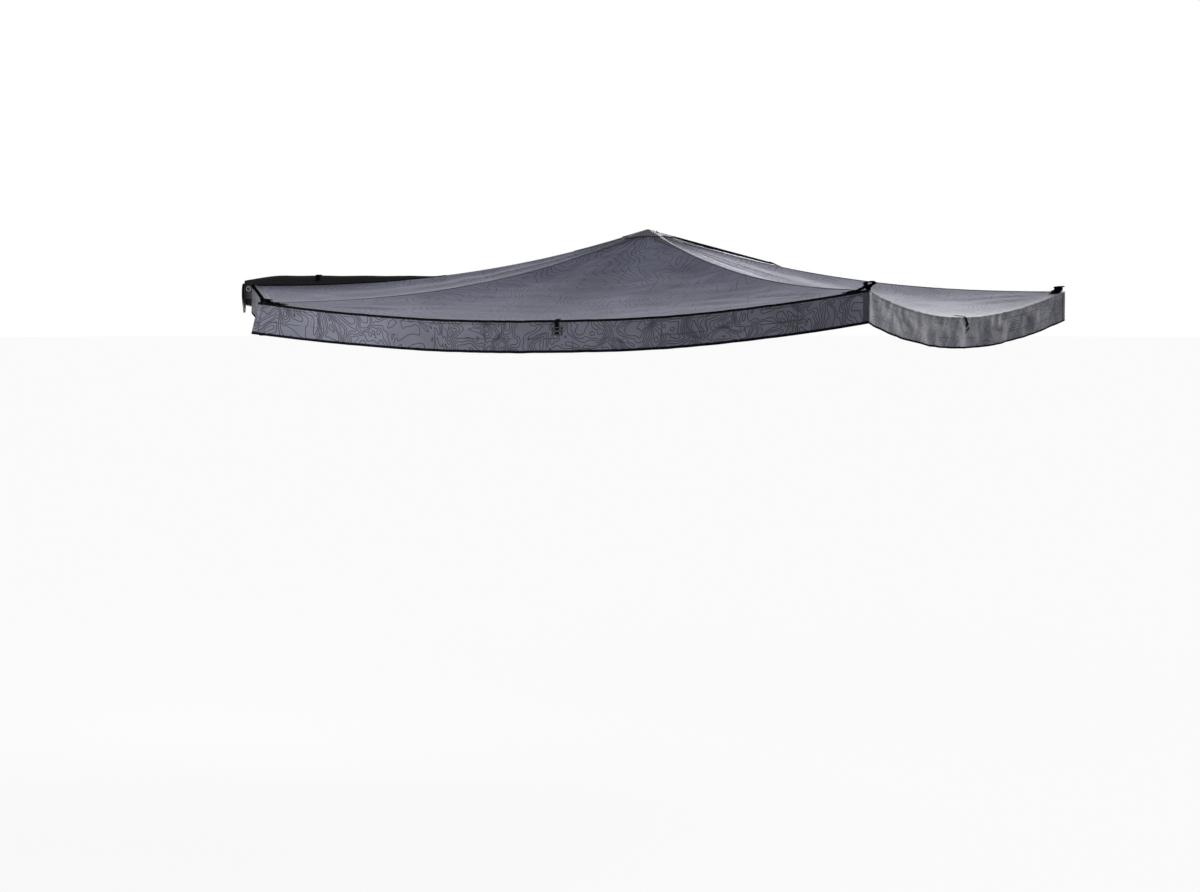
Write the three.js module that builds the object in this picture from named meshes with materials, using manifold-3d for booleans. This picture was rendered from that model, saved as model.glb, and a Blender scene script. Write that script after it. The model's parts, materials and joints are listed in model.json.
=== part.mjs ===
// Side awning for a rack: a slim case, a hub at its rear end, four arms that swing out from
// the hub, and one canopy with a raised peak and a hanging valance. Millimetres, +Z up.
// The origin is the centre of the underside of the rear bracket's foot. +X runs along the
// case to its front end, and +Y points to the side on which the awning opens.
import * as THREE from "three";
import { mergeVertices } from "three/addons/utils/BufferGeometryUtils.js";
import Module from "manifold-3d";

// General clearances and counts
const airGap = 0.3; // between faces that touch on the real thing
const slideGap = 0.5; // round a tube that turns or slides in another
const overrun = 1; // how far a cutter passes the face that it cuts
const weld = 0.0001; // vertices this close are one vertex
const roundSides = 20;
const tubeSides = 12;

// Rack brackets, which carry the case
const bracketWidth = 60;
const bracketFoot = 70;
const bracketHeight = 110;
const bracketPlate = 5;
const bracketSpacing = 860;
const bracketSlotWidth = 9;
const bracketSlotLength = 26;
const bracketSlotOffset = 18; // of the two foot slots from the bracket's middle

// Spine: the extrusion inside the case
const spineLength = 2140;
const spineDepth = 36;
const spineHeight = 80;
const spineWall = 3;
const spineFloor = 15; // height of its underside above the foot
const spineRear = 590; // how far it runs back from the rear bracket's middle
const boltSlotMouth = 9;
const boltSlotWidth = 18;
const boltSlotDepth = 8;
const boltSlotLip = 3;
const kederHeight = 72; // of the canopy's welt above the spine's underside
const kederMouth = 3;
const kederDepth = 6;
const endCapPlate = 4;
const endCapPlug = 14;

// Studs and nuts that hold the spine to its brackets
const sliderLength = 46;
const studRadius = 4;
const studOverhang = 12; // past the bracket's back face
const nutRadius = 8;
const nutHeight = 7;

// Hub
const hubSetBack = 30; // from the spine's rear end to the hub's axis
const hubStandOff = 30; // from the spine's front face to the hub's axis
const postRadius = 17;
const postWall = 3;
const postFlangeRadius = 25;
const postFlange = 6;
const hubNutRadius = 25;
const hubNutHeight = 10;
const hubEarRadius = 33;
const hubEarPlate = 6;
const hubWebLength = 116;
const hubWebPlate = 6;
const hubWebStart = 4; // from the spine's rear end to the web's edge
const washerRadius = 27;

// Arms, all on the hub's one axis, each at its own level
const armAngles = [44, 131, 196, 264]; // degrees from +X, opened
const armLevels = [0, 2, 1, 3]; // place in the stack, from the bottom
const armReach = 2100; // hub axis to the canopy's corner
const armPitch = 35;
const armWidth = 34;
const armDepth = 30;
const armWall = 2.2;
const lowestArm = 3; // height of the lowest arm's middle
const knuckleRadius = 29;
const knuckleHeight = 32;
const armStart = 62; // hub axis to the channel's inner end
const tongueReach = 140;
const tongueWidth = 28;
const tipSetBack = 28; // from the canopy's corner to the channel's outer end
const tipPlate = 6;
const cheekPlate = 3;
const cheekLength = 38;
const seatWidth = 4; // of the rib under the canopy's ridge
const seatHeight = 5;
const ridgeGap = 0.7; // from the rib to the cloth, which falls away to both sides
const lastTipRise = 66; // of the last arm's rib over the others', which holds the free edge up
const riserWidth = 16; // of the post under that rib

// Drop legs, stowed in the arms
const legPinSetBack = 17; // from the channel's outer end to the hinge pin
const legPinRadius = 4;
const legDrop = 1; // of the leg's axis below the arm's
const legRadius = 11;
const legWall = 1.6;
const legLength = 1150;
const legHead = 30;
const legCollarRadius = 13;
const legCollar = 22;
const legInnerWall = 1.5;
const legInnerHidden = 35; // from the hinge pin to the inner tube's hidden end
const legInnerShows = 25; // past the outer tube's mouth
const footRadius = 12;
const footLength = 25;
const footSocket = 10;

// Peak mast, which slides up out of the hub post in two stages
const apexHeight = 372; // top of the canopy at the hub
const mastRadius = 13.4;
const mastWall = 2.4;
const mastOverlap = 34; // of a raised stage in the one below it
const mastCollar = 12;
const mastCollarRadius = 17;
const mastUpperWall = 2.2;
const mastCapRadius = 20;
const mastCapHeight = 20;
const capProfileShares = [[0, 0], [0.7, 0], [1, 0.28], [0.85, 0.55], [0.45, 0.85], [0, 1]];

// Canopy
const cloth = 1.5;
const peakPower = 2.4; // how sharply the ridges rise to the peak
const freeEdgePower = 1; // the taut free edge over the last arm runs straight to it
const sagPower = 1.5;
const edgeDraw = 45; // inward curve of an outer edge
const edgeSags = [45, 112, 125, 115]; // drop of each outer edge's middle
const caseEdgeInset = 40; // of the canopy's case edge from the spine's front end
const weltGap = 0.6; // from the spine's front to the canopy's case edge
const peakOpening = 36; // radius of the panels' opening round the mast
const seamGap = 0.2; // from a panel's side to the ridge line
const foldDepth = 7;
const foldsPerPanel = 3;
const panelColumns = 12;
const panelRows = 10;
const rowPower = 1.7; // draws the rows together towards the peak
const patchRows = 2;
const patchOpening = 6;

// Valance
const valanceHeight = 145;
const valanceWave = 7;
const valanceWaves = 5;
const valanceColumns = 24;
const valanceRows = 2;

// Webbing bands that cross the ridges at the corners, and straps at the edges
const webbing = 1.6;
const webbingLift = 0.9; // over the cloth that it lies on
const tabHalfLength = 105; // of the band, to each side of its loop
const tabWidth = 45;
const tabSetBack = 8; // from the canopy's corner to the band
const tabLoopHeights = [14, 36, 30, 0]; // of each arm's band over its canopy
const tabLoopShare = 0.6; // of the band's half length, raised in the loop
const tabColumns = 16;
const tabRows = 2;
const strapHalfWidth = 12.5;
const strapRun = 60; // on the canopy, from its edge
const strapFall = 45; // down the valance
const strapColumns = 2;
const strapRunRows = 3;
const strapFallRows = 2;
const buckleWidth = 44;
const buckleHeight = 34;
const buckleDepth = 9;

// Cover of the case: a soft lid rolled on the spine, a hanging flap and a front end
const coverCloth = 1.6;
const lidWidth = 38;
const lidHeight = 38;
const lidStations = 18;
const lidSides = 12;
const lidTaper = 230; // length over which the roll falls away to the front
const lidFrontShare = 0.4; // of the roll's height, left at the front
const lidWidthPower = 0.7; // square the roll's section: 1 is an ellipse
const lidHeightPower = 0.8;
const lidRipple = 1.5;
const lidRipples = 9;
const flapDrop = 165;
const flapWave = 8;
const flapWaves = 6;
const flapColumns = 36;
const flapRows = 3;
const flapRiseLength = 240; // over which the flap's foot rises to the front end
const flapRiseShare = 0.55; // of its drop, lost there
const frontWidth = 58;
const frontDrop = 165;
const frontBulge = 12;
const frontBulgeShare = 0.1; // of the way down the bulge at the front's top edge
const frontTaperShare = 0.8; // of its width, lost at its foot
const frontTaperPower = 3;
const frontColumns = 6;
const frontRows = 10;
const coverStrapWidth = 25;
const coverStrapPlace = 405; // from the spine's front end
const coverStrapTail = 8;
const coverStrapTailRows = 2;
const coverStrapWrapRows = 8;
const coverStrapLift = 0.7; // over the rolled lid

// Worked-out places
const spineBack = bracketFoot / 2 + bracketPlate + airGap;
const spineFront = spineBack + spineDepth;
const spineTop = spineFloor + spineHeight;
const spineMiddle = spineFloor + spineHeight / 2;
const spineStart = -spineRear;
const spineEnd = spineStart + spineLength;
const hubX = spineStart - hubSetBack;
const hubY = spineFront + hubStandOff;
const levelTop = (level) => lowestArm + level * armPitch + knuckleHeight / 2;
const lowerEarTop = lowestArm - knuckleHeight / 2 - slideGap;
const upperEarBottom = levelTop(armLevels.length - 1) + slideGap;
const postBottom = lowerEarTop - hubEarPlate - airGap - postFlange;
const postTop = upperEarBottom + hubEarPlate + airGap + hubNutHeight + airGap;
const postBore = postRadius - postWall;
const armEnd = armReach - tipSetBack;
const armZ = (arm) => lowestArm + armLevels[arm] * armPitch;
const lastArm = armAngles.length - 1;

const wasm = await Module();
wasm.setup();

// Merges a geometry's vertices and turns it right side out.
function closed(geometry) {
  const bare = geometry.index ? geometry.toNonIndexed() : geometry.clone();
  bare.deleteAttribute("normal");
  bare.deleteAttribute("uv");
  const merged = mergeVertices(bare, weld);
  const at = merged.attributes.position;
  const index = Array.from(merged.index.array);
  const [a, b, c] = [0, 1, 2].map(() => new THREE.Vector3());
  const kept = [];
  let volume = 0;
  for (let i = 0; i < index.length; i += 3) {
    const [p, q, r] = index.slice(i, i + 3);
    if (p === q || q === r || r === p) continue;
    volume += a.fromBufferAttribute(at, p).dot(
      b.fromBufferAttribute(at, q).cross(c.fromBufferAttribute(at, r)),
    );
    kept.push(p, q, r);
  }
  if (volume < 0) kept.reverse();
  merged.setIndex(kept);
  return merged;
}

function solid(geometry) {
  const mesh = closed(geometry);
  return new wasm.Manifold(
    new wasm.Mesh({
      numProp: 3,
      vertProperties: new Float32Array(mesh.attributes.position.array),
      triVerts: new Uint32Array(mesh.index.array),
    }),
  );
}

// Joins the first list of geometries and cuts the second list from them.
function carve(joined, cut = []) {
  let body = solid(joined[0]);
  for (const piece of joined.slice(1)) body = body.add(solid(piece));
  for (const piece of cut) body = body.subtract(solid(piece));
  const mesh = body.getMesh();
  const geometry = new THREE.BufferGeometry();
  geometry.setAttribute("position", new THREE.BufferAttribute(mesh.vertProperties, 3));
  geometry.setIndex(new THREE.BufferAttribute(mesh.triVerts, 1));
  return geometry;
}

function box(x0, x1, y0, y1, z0, z1) {
  const block = new THREE.BoxGeometry(x1 - x0, y1 - y0, z1 - z0);
  return block.translate((x0 + x1) / 2, (y0 + y1) / 2, (z0 + z1) / 2);
}

// An outline drawn across and up, drawn out along +Z.
function prism(points, depth, holes = []) {
  const shape = new THREE.Shape(points.map(([x, y]) => new THREE.Vector2(x, y)));
  for (const hole of holes)
    shape.holes.push(new THREE.Path(hole.map(([x, y]) => new THREE.Vector2(x, y))));
  return new THREE.ExtrudeGeometry(shape, { depth, bevelEnabled: false, curveSegments: roundSides });
}

// The same, with the outline in Y and Z, drawn out along X from x0 to x1.
function prismX(points, x0, x1, holes = []) {
  const turn = new THREE.Matrix4().makeBasis(
    new THREE.Vector3(0, 1, 0),
    new THREE.Vector3(0, 0, 1),
    new THREE.Vector3(1, 0, 0),
  );
  return prism(points, x1 - x0, holes).applyMatrix4(turn).translate(x0, 0, 0);
}

// A turned piece about Z, from a profile of [radius, height] points that closes on itself
// or on the axis.
function turned(profile, sides = roundSides) {
  const points = profile.map(([r, z]) => new THREE.Vector2(r, z));
  return new THREE.LatheGeometry(points, sides).rotateX(Math.PI / 2);
}

function rod(radius, z0, z1, sides = roundSides) {
  return turned([[0, z0], [radius, z0], [radius, z1], [0, z1]], sides);
}

function tube(inner, outer, z0, z1, sides = roundSides) {
  return turned([[inner, z0], [outer, z0], [outer, z1], [inner, z1], [inner, z0]], sides);
}

const alongX = (geometry) => geometry.rotateY(Math.PI / 2);
const alongY = (geometry) => geometry.rotateX(-Math.PI / 2);

// A sheet as a closed solid. place(u, v) gives a point on it and the direction of its face
// there, and its two faces lie at near and at far along that direction.
function sheet(columns, rows, place, near, far) {
  const positions = [];
  const index = [];
  for (const offset of [near, far])
    for (let row = 0; row <= rows; row++)
      for (let column = 0; column <= columns; column++) {
        const { at, facing } = place(column / columns, row / rows);
        positions.push(...at.clone().addScaledVector(facing, offset).toArray());
      }
  const stride = columns + 1;
  const layer = stride * (rows + 1);
  const quad = (a, b, c, d) => index.push(a, b, c, a, c, d);
  for (let row = 0; row < rows; row++)
    for (let column = 0; column < columns; column++) {
      const k = row * stride + column;
      quad(k, k + 1, k + 1 + stride, k + stride);
      quad(layer + k, layer + k + stride, layer + k + 1 + stride, layer + k + 1);
    }
  for (let column = 0; column < columns; column++) {
    const last = rows * stride + column;
    quad(column, layer + column, layer + column + 1, column + 1);
    quad(last, last + 1, layer + last + 1, layer + last);
  }
  for (let row = 0; row < rows; row++) {
    const [left, right] = [row * stride, row * stride + columns];
    quad(left, left + stride, layer + left + stride, layer + left);
    quad(right, layer + right, layer + right + stride, right + stride);
  }
  const geometry = new THREE.BufferGeometry();
  geometry.setAttribute("position", new THREE.Float32BufferAttribute(positions, 3));
  geometry.setIndex(index);
  return closed(geometry);
}

const awning = new THREE.Group();

function add(group, name, geometry, color, roughness, metalness) {
  const material = new THREE.MeshStandardMaterial({ color, roughness, metalness });
  const mesh = new THREE.Mesh(geometry, material);
  mesh.name = name;
  group.add(mesh);
}

// Each finish adds a mesh to the awning, or to a group in it: colour, roughness, metalness.
const finish = (color, roughness, metalness) => (name, geometry, group = awning) =>
  add(group, name, geometry, color, roughness, metalness);
const addSteel = finish(0x8d9094, 0.35, 0.9);
const addBlackSteel = finish(0x1b1c1e, 0.5, 0.6);
const addAlloy = finish(0xa9acb0, 0.4, 0.85);
const addBlackAlloy = finish(0x202124, 0.45, 0.7);
const addPlastic = finish(0x17181a, 0.6, 0);
const addCloth = finish(0x55555f, 0.9, 0);
const addPaleCloth = finish(0x6e707b, 0.9, 0);
const addWebbing = finish(0x121315, 0.85, 0);

// Brackets, sliders and nuts. The stud goes through a slot in the bracket's upright.
function addBracket(place, name) {
  const [back, front] = [-bracketFoot / 2, bracketFoot / 2];
  const half = bracketWidth / 2;
  const slotHalf = bracketSlotWidth / 2;
  const uprightSlot = box(
    -slotHalf, slotHalf,
    front - overrun, front + bracketPlate + overrun,
    spineMiddle - bracketSlotLength / 2, spineMiddle + bracketSlotLength / 2,
  );
  const footSlots = [-1, 1].map((side) =>
    box(
      side * bracketSlotOffset - slotHalf, side * bracketSlotOffset + slotHalf,
      -bracketSlotLength / 2, bracketSlotLength / 2,
      -overrun, bracketPlate + overrun,
    ),
  );
  const angle = prismX(
    [
      [back, 0], [front + bracketPlate, 0], [front + bracketPlate, bracketHeight],
      [front, bracketHeight], [front, bracketPlate], [back, bracketPlate],
    ],
    -half, half,
  );
  const group = new THREE.Group();
  group.position.x = place;
  addBlackSteel("bracket_" + name, carve([angle], [uprightSlot, ...footSlots]), group);
  const barNear = spineBack + boltSlotLip + airGap;
  const barFar = spineBack + boltSlotDepth + boltSlotLip - airGap;
  const bar = box(
    -sliderLength / 2, sliderLength / 2, barNear, barFar,
    spineMiddle - boltSlotWidth / 2 + slideGap, spineMiddle + boltSlotWidth / 2 - slideGap,
  );
  const stud = alongY(rod(studRadius, front - studOverhang, barNear + overrun));
  stud.translate(0, 0, spineMiddle);
  addSteel("slider_" + name, carve([bar, stud]), group);
  const nut = alongY(
    tube(studRadius + airGap, nutRadius, front - airGap - nutHeight, front - airGap, tubeSides),
  ).translate(0, 0, spineMiddle);
  addSteel("bracket_nut_" + name, closed(nut), group);
  awning.add(group);
}

// Spine: a hollow section with a bolt slot in its back and a welt groove in its front.
function addSpine() {
  const [mouth, width] = [boltSlotMouth / 2, boltSlotWidth / 2];
  const slotFloor = spineBack + boltSlotLip + boltSlotDepth;
  const welt = spineFloor + kederHeight;
  const outline = [
    [spineBack, spineFloor], [spineFront, spineFloor],
    [spineFront, welt - kederMouth / 2], [spineFront - kederDepth, welt - kederMouth / 2],
    [spineFront - kederDepth, welt + kederMouth / 2], [spineFront, welt + kederMouth / 2],
    [spineFront, spineTop], [spineBack, spineTop],
    [spineBack, spineMiddle + mouth], [spineBack + boltSlotLip, spineMiddle + mouth],
    [spineBack + boltSlotLip, spineMiddle + width], [slotFloor, spineMiddle + width],
    [slotFloor, spineMiddle - width], [spineBack + boltSlotLip, spineMiddle - width],
    [spineBack + boltSlotLip, spineMiddle - mouth], [spineBack, spineMiddle - mouth],
  ];
  const hollowBack = slotFloor + spineWall;
  const hollowFront = spineFront - kederDepth - spineWall;
  const hollow = [
    [hollowBack, spineFloor + spineWall], [hollowFront, spineFloor + spineWall],
    [hollowFront, spineTop - spineWall], [hollowBack, spineTop - spineWall],
  ];
  addBlackAlloy("spine", closed(prismX(outline, spineStart, spineEnd, [hollow])));
  const plug = box(
    spineEnd - endCapPlug, spineEnd + airGap + overrun,
    hollowBack + airGap, hollowFront - airGap,
    spineFloor + spineWall + airGap, spineTop - spineWall - airGap,
  );
  const lid = box(
    spineEnd + airGap, spineEnd + airGap + endCapPlate, spineBack, spineFront, spineFloor, spineTop,
  );
  addPlastic("spine_end_cap", carve([lid, plug]));
}

// Hub: two ears on a web that is bolted to the spine, the post through them, and its nut.
function addHub() {
  const webBack = spineFront + airGap;
  const webStart = spineStart + hubWebStart;
  const webEnd = webStart + hubWebLength;
  const earTop = upperEarBottom + hubEarPlate;
  const earBottom = lowerEarTop - hubEarPlate;
  const neck = [
    [hubX, hubY + hubEarRadius], [hubX, hubY - hubEarRadius],
    [webStart, webBack], [webEnd, webBack], [webEnd, webBack + hubWebPlate],
  ];
  const ears = [earBottom, upperEarBottom].flatMap((z) => [
    rod(hubEarRadius, z, z + hubEarPlate).translate(hubX, hubY, 0),
    prism(neck, hubEarPlate).translate(0, 0, z),
  ]);
  const web = box(webStart, webEnd, webBack, webBack + hubWebPlate, earBottom, earTop);
  const bore = rod(postRadius + airGap, earBottom - overrun, earTop + overrun).translate(hubX, hubY, 0);
  addBlackSteel("hub_bracket", carve([web, ...ears], [bore]));
  const post = turned([
    [postBore, postBottom], [postFlangeRadius, postBottom], [postFlangeRadius, postBottom + postFlange],
    [postRadius, postBottom + postFlange], [postRadius, postTop], [postBore, postTop],
    [postBore, postBottom],
  ]);
  addSteel("hub_post", closed(post.translate(hubX, hubY, 0)));
  const nut = tube(postRadius + airGap, hubNutRadius, earTop + airGap, earTop + airGap + hubNutHeight);
  addSteel("hub_nut", closed(nut.translate(hubX, hubY, 0)));
  for (let level = 0; level < armLevels.length - 1; level++) {
    const under = levelTop(level) + airGap;
    const over = levelTop(level) + armPitch - knuckleHeight - airGap;
    const washer = tube(postRadius + slideGap, washerRadius, under, over);
    addPlastic("hub_washer_" + (level + 1), closed(washer.translate(hubX, hubY, 0)));
  }
}

// Mast: two tubes and a domed cap, raised. Each stage travels as far as lets the mast stow.
const collarRest = postTop + airGap;
const mastTravel = (apexHeight - cloth - airGap - collarRest - mastCollar - airGap - mastCapHeight) / 2;
const collarBottom = collarRest + mastTravel;
const capBottom = collarBottom + mastCollar + airGap + mastTravel;
function addMast() {
  const bore = mastRadius - mastWall;
  const lower = turned([
    [bore, postTop - mastOverlap], [mastRadius, postTop - mastOverlap], [mastRadius, collarBottom],
    [mastCollarRadius, collarBottom], [mastCollarRadius, collarBottom + mastCollar],
    [bore, collarBottom + mastCollar], [bore, postTop - mastOverlap],
  ]);
  addAlloy("mast_lower", closed(lower.translate(hubX, hubY, 0)));
  const upperRadius = bore - slideGap;
  const upper = tube(
    upperRadius - mastUpperWall, upperRadius, collarBottom + mastCollar - mastOverlap, capBottom - airGap,
  );
  addAlloy("mast_upper", closed(upper.translate(hubX, hubY, 0)));
  const dome = turned(
    capProfileShares.map(([r, z]) => [r * mastCapRadius, capBottom + z * mastCapHeight]),
  );
  addPlastic("mast_cap", closed(dome.translate(hubX, hubY, 0)));
}

// One arm with its stowed leg, drawn along +X from the hub's axis and turned to its angle.
function addArm(arm) {
  const name = "_" + (arm + 1);
  const group = new THREE.Group();
  group.position.set(hubX, hubY, armZ(arm));
  group.rotation.z = THREE.MathUtils.degToRad(armAngles[arm]);

  const [halfWidth, halfDepth] = [armWidth / 2, armDepth / 2];
  const ceiling = halfDepth - armWall;
  const innerHalf = halfWidth - armWall;
  const channel = prismX(
    [
      [-halfWidth, -halfDepth], [-innerHalf, -halfDepth], [-innerHalf, ceiling], [innerHalf, ceiling],
      [innerHalf, -halfDepth], [halfWidth, -halfDepth], [halfWidth, halfDepth], [-halfWidth, halfDepth],
    ],
    armStart, armEnd,
  );
  addAlloy("arm_beam" + name, closed(channel), group);

  const ring = rod(knuckleRadius, -knuckleHeight / 2, knuckleHeight / 2);
  const tongue = box(
    0, tongueReach, -tongueWidth / 2, tongueWidth / 2, airGap - ceiling, ceiling - airGap,
  );
  const bore = rod(postRadius + slideGap, -knuckleHeight, knuckleHeight);
  addBlackAlloy("arm_knuckle" + name, carve([ring, tongue], [bore]), group);

  const pin = armEnd - legPinSetBack;
  const cheekOuter = innerHalf - airGap;
  const cheekInner = cheekOuter - cheekPlate;
  const cheeks = [-1, 1].map((side) => {
    const [low, high] = side < 0 ? [-cheekOuter, -cheekInner] : [cheekInner, cheekOuter];
    return box(
      armEnd - cheekLength, armEnd + airGap + overrun, low, high, airGap - halfDepth, ceiling - airGap,
    );
  });
  const plate = box(
    armEnd + airGap, armEnd + airGap + tipPlate, -halfWidth, halfWidth, -halfDepth, halfDepth,
  );
  const seatEnd = armEnd + airGap + tipPlate;
  const seatTop = laid(arm, seatEnd / armReach, 1).z - cloth - ridgeGap - armZ(arm);
  const seat = box(
    armEnd + airGap, seatEnd, -seatWidth / 2, seatWidth / 2, halfDepth - overrun, seatTop,
  );
  const riser = box(
    armEnd + airGap, seatEnd, -riserWidth / 2, riserWidth / 2,
    halfDepth - overrun, halfDepth + tipRise(arm),
  );
  const hingePin = alongY(rod(legPinRadius, -cheekOuter, cheekOuter, tubeSides));
  hingePin.translate(pin, 0, -legDrop);
  addBlackAlloy("arm_tip" + name, carve([plate, riser, seat, ...cheeks, hingePin]), group);

  const headHalf = cheekInner - airGap;
  const legBore = legRadius - legWall;
  const mouth = pin - legLength;
  const legParts = [
    alongX(rod(legRadius, pin - legHead, pin, tubeSides)).translate(0, 0, -legDrop),
    alongX(tube(legBore, legRadius, mouth, pin - legHead + overrun, tubeSides)).translate(0, 0, -legDrop),
    alongX(tube(legBore, legCollarRadius, mouth, mouth + legCollar, tubeSides)).translate(0, 0, -legDrop),
    alongY(rod(legRadius, -headHalf, headHalf, tubeSides)).translate(pin, 0, -legDrop),
  ];
  const eye = alongY(rod(legPinRadius + airGap, -armWidth, armWidth, tubeSides));
  eye.translate(pin, 0, -legDrop);
  addAlloy("leg_outer" + name, carve(legParts, [eye]), group);

  const innerRadius = legBore - slideGap;
  const innerEnd = mouth - legInnerShows;
  const inner = alongX(
    tube(innerRadius - legInnerWall, innerRadius, innerEnd, pin - legInnerHidden, tubeSides),
  );
  addAlloy("leg_inner" + name, closed(inner.translate(0, 0, -legDrop)), group);
  const socketEnd = innerEnd - airGap;
  const foot = alongX(
    turned([
      [0, socketEnd - footLength + footSocket], [footRadius, socketEnd - footLength + footSocket],
      [footRadius, socketEnd + footSocket], [innerRadius + airGap, socketEnd + footSocket],
      [innerRadius + airGap, socketEnd], [0, socketEnd],
    ], tubeSides),
  );
  addPlastic("leg_foot" + name, closed(foot.translate(0, 0, -legDrop)), group);
  awning.add(group);
}

// Ridges of the canopy: the first runs along the case, the others over the arms. The last one is
// the canopy's free edge, which is held up at its tip and pulled straight.
const tipRise = (arm) => (arm === lastArm ? lastTipRise : 0);
const caseCorner = new THREE.Vector2(spineEnd - caseEdgeInset - hubX, spineFront + weltGap - hubY);
const ridges = [
  { corner: caseCorner, z: spineFloor + kederHeight, power: peakPower },
  ...armAngles.map((degrees, arm) => {
    const angle = THREE.MathUtils.degToRad(degrees);
    return {
      corner: new THREE.Vector2(Math.cos(angle), Math.sin(angle)).multiplyScalar(armReach),
      z: armZ(arm) + armDepth / 2 + tipRise(arm) + seatHeight + ridgeGap + cloth,
      power: arm === lastArm ? freeEdgePower : peakPower,
    };
  }),
];

const arch = (t) => 4 * t * (1 - t);

// Outward direction, in plan, of a panel's outer edge.
function outward(panel, t) {
  const chord = ridges[panel + 1].corner.clone().sub(ridges[panel].corner);
  const slope = (4 * edgeDraw * (1 - 2 * t)) / chord.length();
  chord.normalize();
  const square = new THREE.Vector2(chord.y, -chord.x);
  return square.addScaledVector(chord, slope).normalize();
}

// Top of the canopy at share s of the way out from the hub, and t of the way across.
function canopy(panel, s, t) {
  const [from, to] = [ridges[panel], ridges[panel + 1]];
  const chord = to.corner.clone().sub(from.corner).normalize();
  const inward = new THREE.Vector2(-chord.y, chord.x).multiplyScalar(edgeDraw * arch(t));
  const edge = from.corner.clone().lerp(to.corner, t).add(inward);
  const edgeZ = THREE.MathUtils.lerp(from.z, to.z, t);
  const power = THREE.MathUtils.lerp(from.power, to.power, t * t);
  const rise = (apexHeight - edgeZ) * (1 - s) ** power;
  const sag = edgeSags[panel] * arch(t) * s ** sagPower;
  const fold = foldDepth * Math.sin(Math.PI * foldsPerPanel * t) ** 2 * Math.sin(Math.PI * s);
  return new THREE.Vector3(hubX + edge.x * s, hubY + edge.y * s, edgeZ + rise - sag - fold);
}

// Share of the way out at a row of the canopy's mesh.
const rowShare = (row) => {
  const opening = peakOpening / armReach;
  return opening + (1 - opening) * (row / panelRows) ** rowPower;
};

// Point on the canopy's mesh, whose facets are split from their near corner to the far one.
function laid(panel, s, t) {
  let row = 0;
  while (row < panelRows - 1 && rowShare(row + 1) <= s) row++;
  const v = (s - rowShare(row)) / (rowShare(row + 1) - rowShare(row));
  const column = Math.min(Math.floor(t * panelColumns), panelColumns - 1);
  const u = t * panelColumns - column;
  const node = (i, j) => canopy(panel, rowShare(row + j), (column + i) / panelColumns);
  const near = node(0, 0);
  const side = (u > v ? node(1, 0) : node(0, 1)).sub(near);
  const far = node(1, 1).sub(near);
  return near.addScaledVector(side, Math.abs(u - v)).addScaledVector(far, Math.min(u, v));
}

// Outer face of a panel's edge, and the valance's place at a depth below it.
function valance(panel, t, depth) {
  const out = outward(panel, t);
  const swing = valanceWave * Math.sin(2 * Math.PI * valanceWaves * t) * Math.sin(Math.PI * t);
  const at = laid(panel, 1, t);
  const facing = new THREE.Vector3(out.x, out.y, 0);
  at.addScaledVector(facing, (swing * depth) / valanceHeight);
  at.z -= depth;
  return { at, facing };
}

function addCanopy() {
  const up = new THREE.Vector3(0, 0, 1);
  for (let panel = 0; panel < armAngles.length; panel++) {
    const name = "_" + (panel + 1);
    const place = (u, v) => {
      const at = canopy(panel, rowShare(Math.round(v * panelRows)), u);
      const corner = u === 0 ? ridges[panel].corner : ridges[panel + 1].corner;
      const aside = new THREE.Vector3(-corner.y, corner.x, 0).normalize();
      if (u === 0) at.addScaledVector(aside, seamGap);
      if (u === 1) at.addScaledVector(aside, -seamGap);
      return { at, facing: up };
    };
    addCloth("canopy" + name, sheet(panelColumns, panelRows, place, -cloth, 0));
    const hang = (u, v) => valance(panel, u, v * valanceHeight);
    addPaleCloth("valance" + name, sheet(valanceColumns, valanceRows, hang, airGap, airGap + cloth));
  }
  const columns = panelColumns * armAngles.length;
  const patch = (u, v) => {
    const column = Math.round(u * columns);
    const panel = Math.min(Math.floor(column / panelColumns), lastArm);
    const row = Math.round(v * (patchRows + 1)) - 1;
    const share = row < 0 ? patchOpening / armReach : rowShare(row);
    return { at: canopy(panel, share, column / panelColumns - panel), facing: up };
  };
  addCloth("peak_patch", sheet(columns, patchRows + 1, patch, airGap, airGap + cloth));
}

// Point of a strip that lies on the canopy, turns over its edge and hangs on the valance. run
// is the distance in from the edge, and fall the distance down the valance.
function edgePlace(panel, t, run, fall, facing) {
  if (fall > 0) {
    const hung = valance(panel, t, fall);
    return { at: hung.at.addScaledVector(facing, airGap + cloth), facing };
  }
  const at = laid(panel, 1 - run / armReach, t);
  if (run > 0) return { at, facing: new THREE.Vector3(0, 0, 1) };
  at.addScaledVector(facing, airGap + cloth);
  return { at, facing: facing.clone().add(new THREE.Vector3(0, 0, 1)) };
}

// A band that crosses the ridge at an arm's tip and stands up over it in a loop. Over the last
// arm, which has cloth on one side only, the whole band lies on that side.
function addCornerTab(arm) {
  const up = new THREE.Vector3(0, 0, 1);
  const aside = arm === lastArm ? tabHalfLength : 0;
  const place = (u, v) => {
    const along = (2 * u - 1) * tabHalfLength;
    const across = along - aside;
    const panel = across <= 0 ? arm : arm + 1;
    const chord = ridges[panel + 1].corner.distanceTo(ridges[panel].corner);
    const share = 1 - (tabSetBack + (1 - v) * tabWidth) / armReach;
    const away = Math.abs(across) / (chord * share);
    const at = laid(panel, share, across <= 0 ? 1 - away : away);
    const bent = Math.min(1, Math.abs(along) / (tabHalfLength * tabLoopShare));
    at.z += tabLoopHeights[arm] * Math.cos((bent * Math.PI) / 2) ** 2;
    return { at, facing: up };
  };
  const band = sheet(tabColumns, tabRows, place, webbingLift, webbingLift + webbing);
  addWebbing("corner_tab_" + (arm + 1), band);
}

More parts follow.
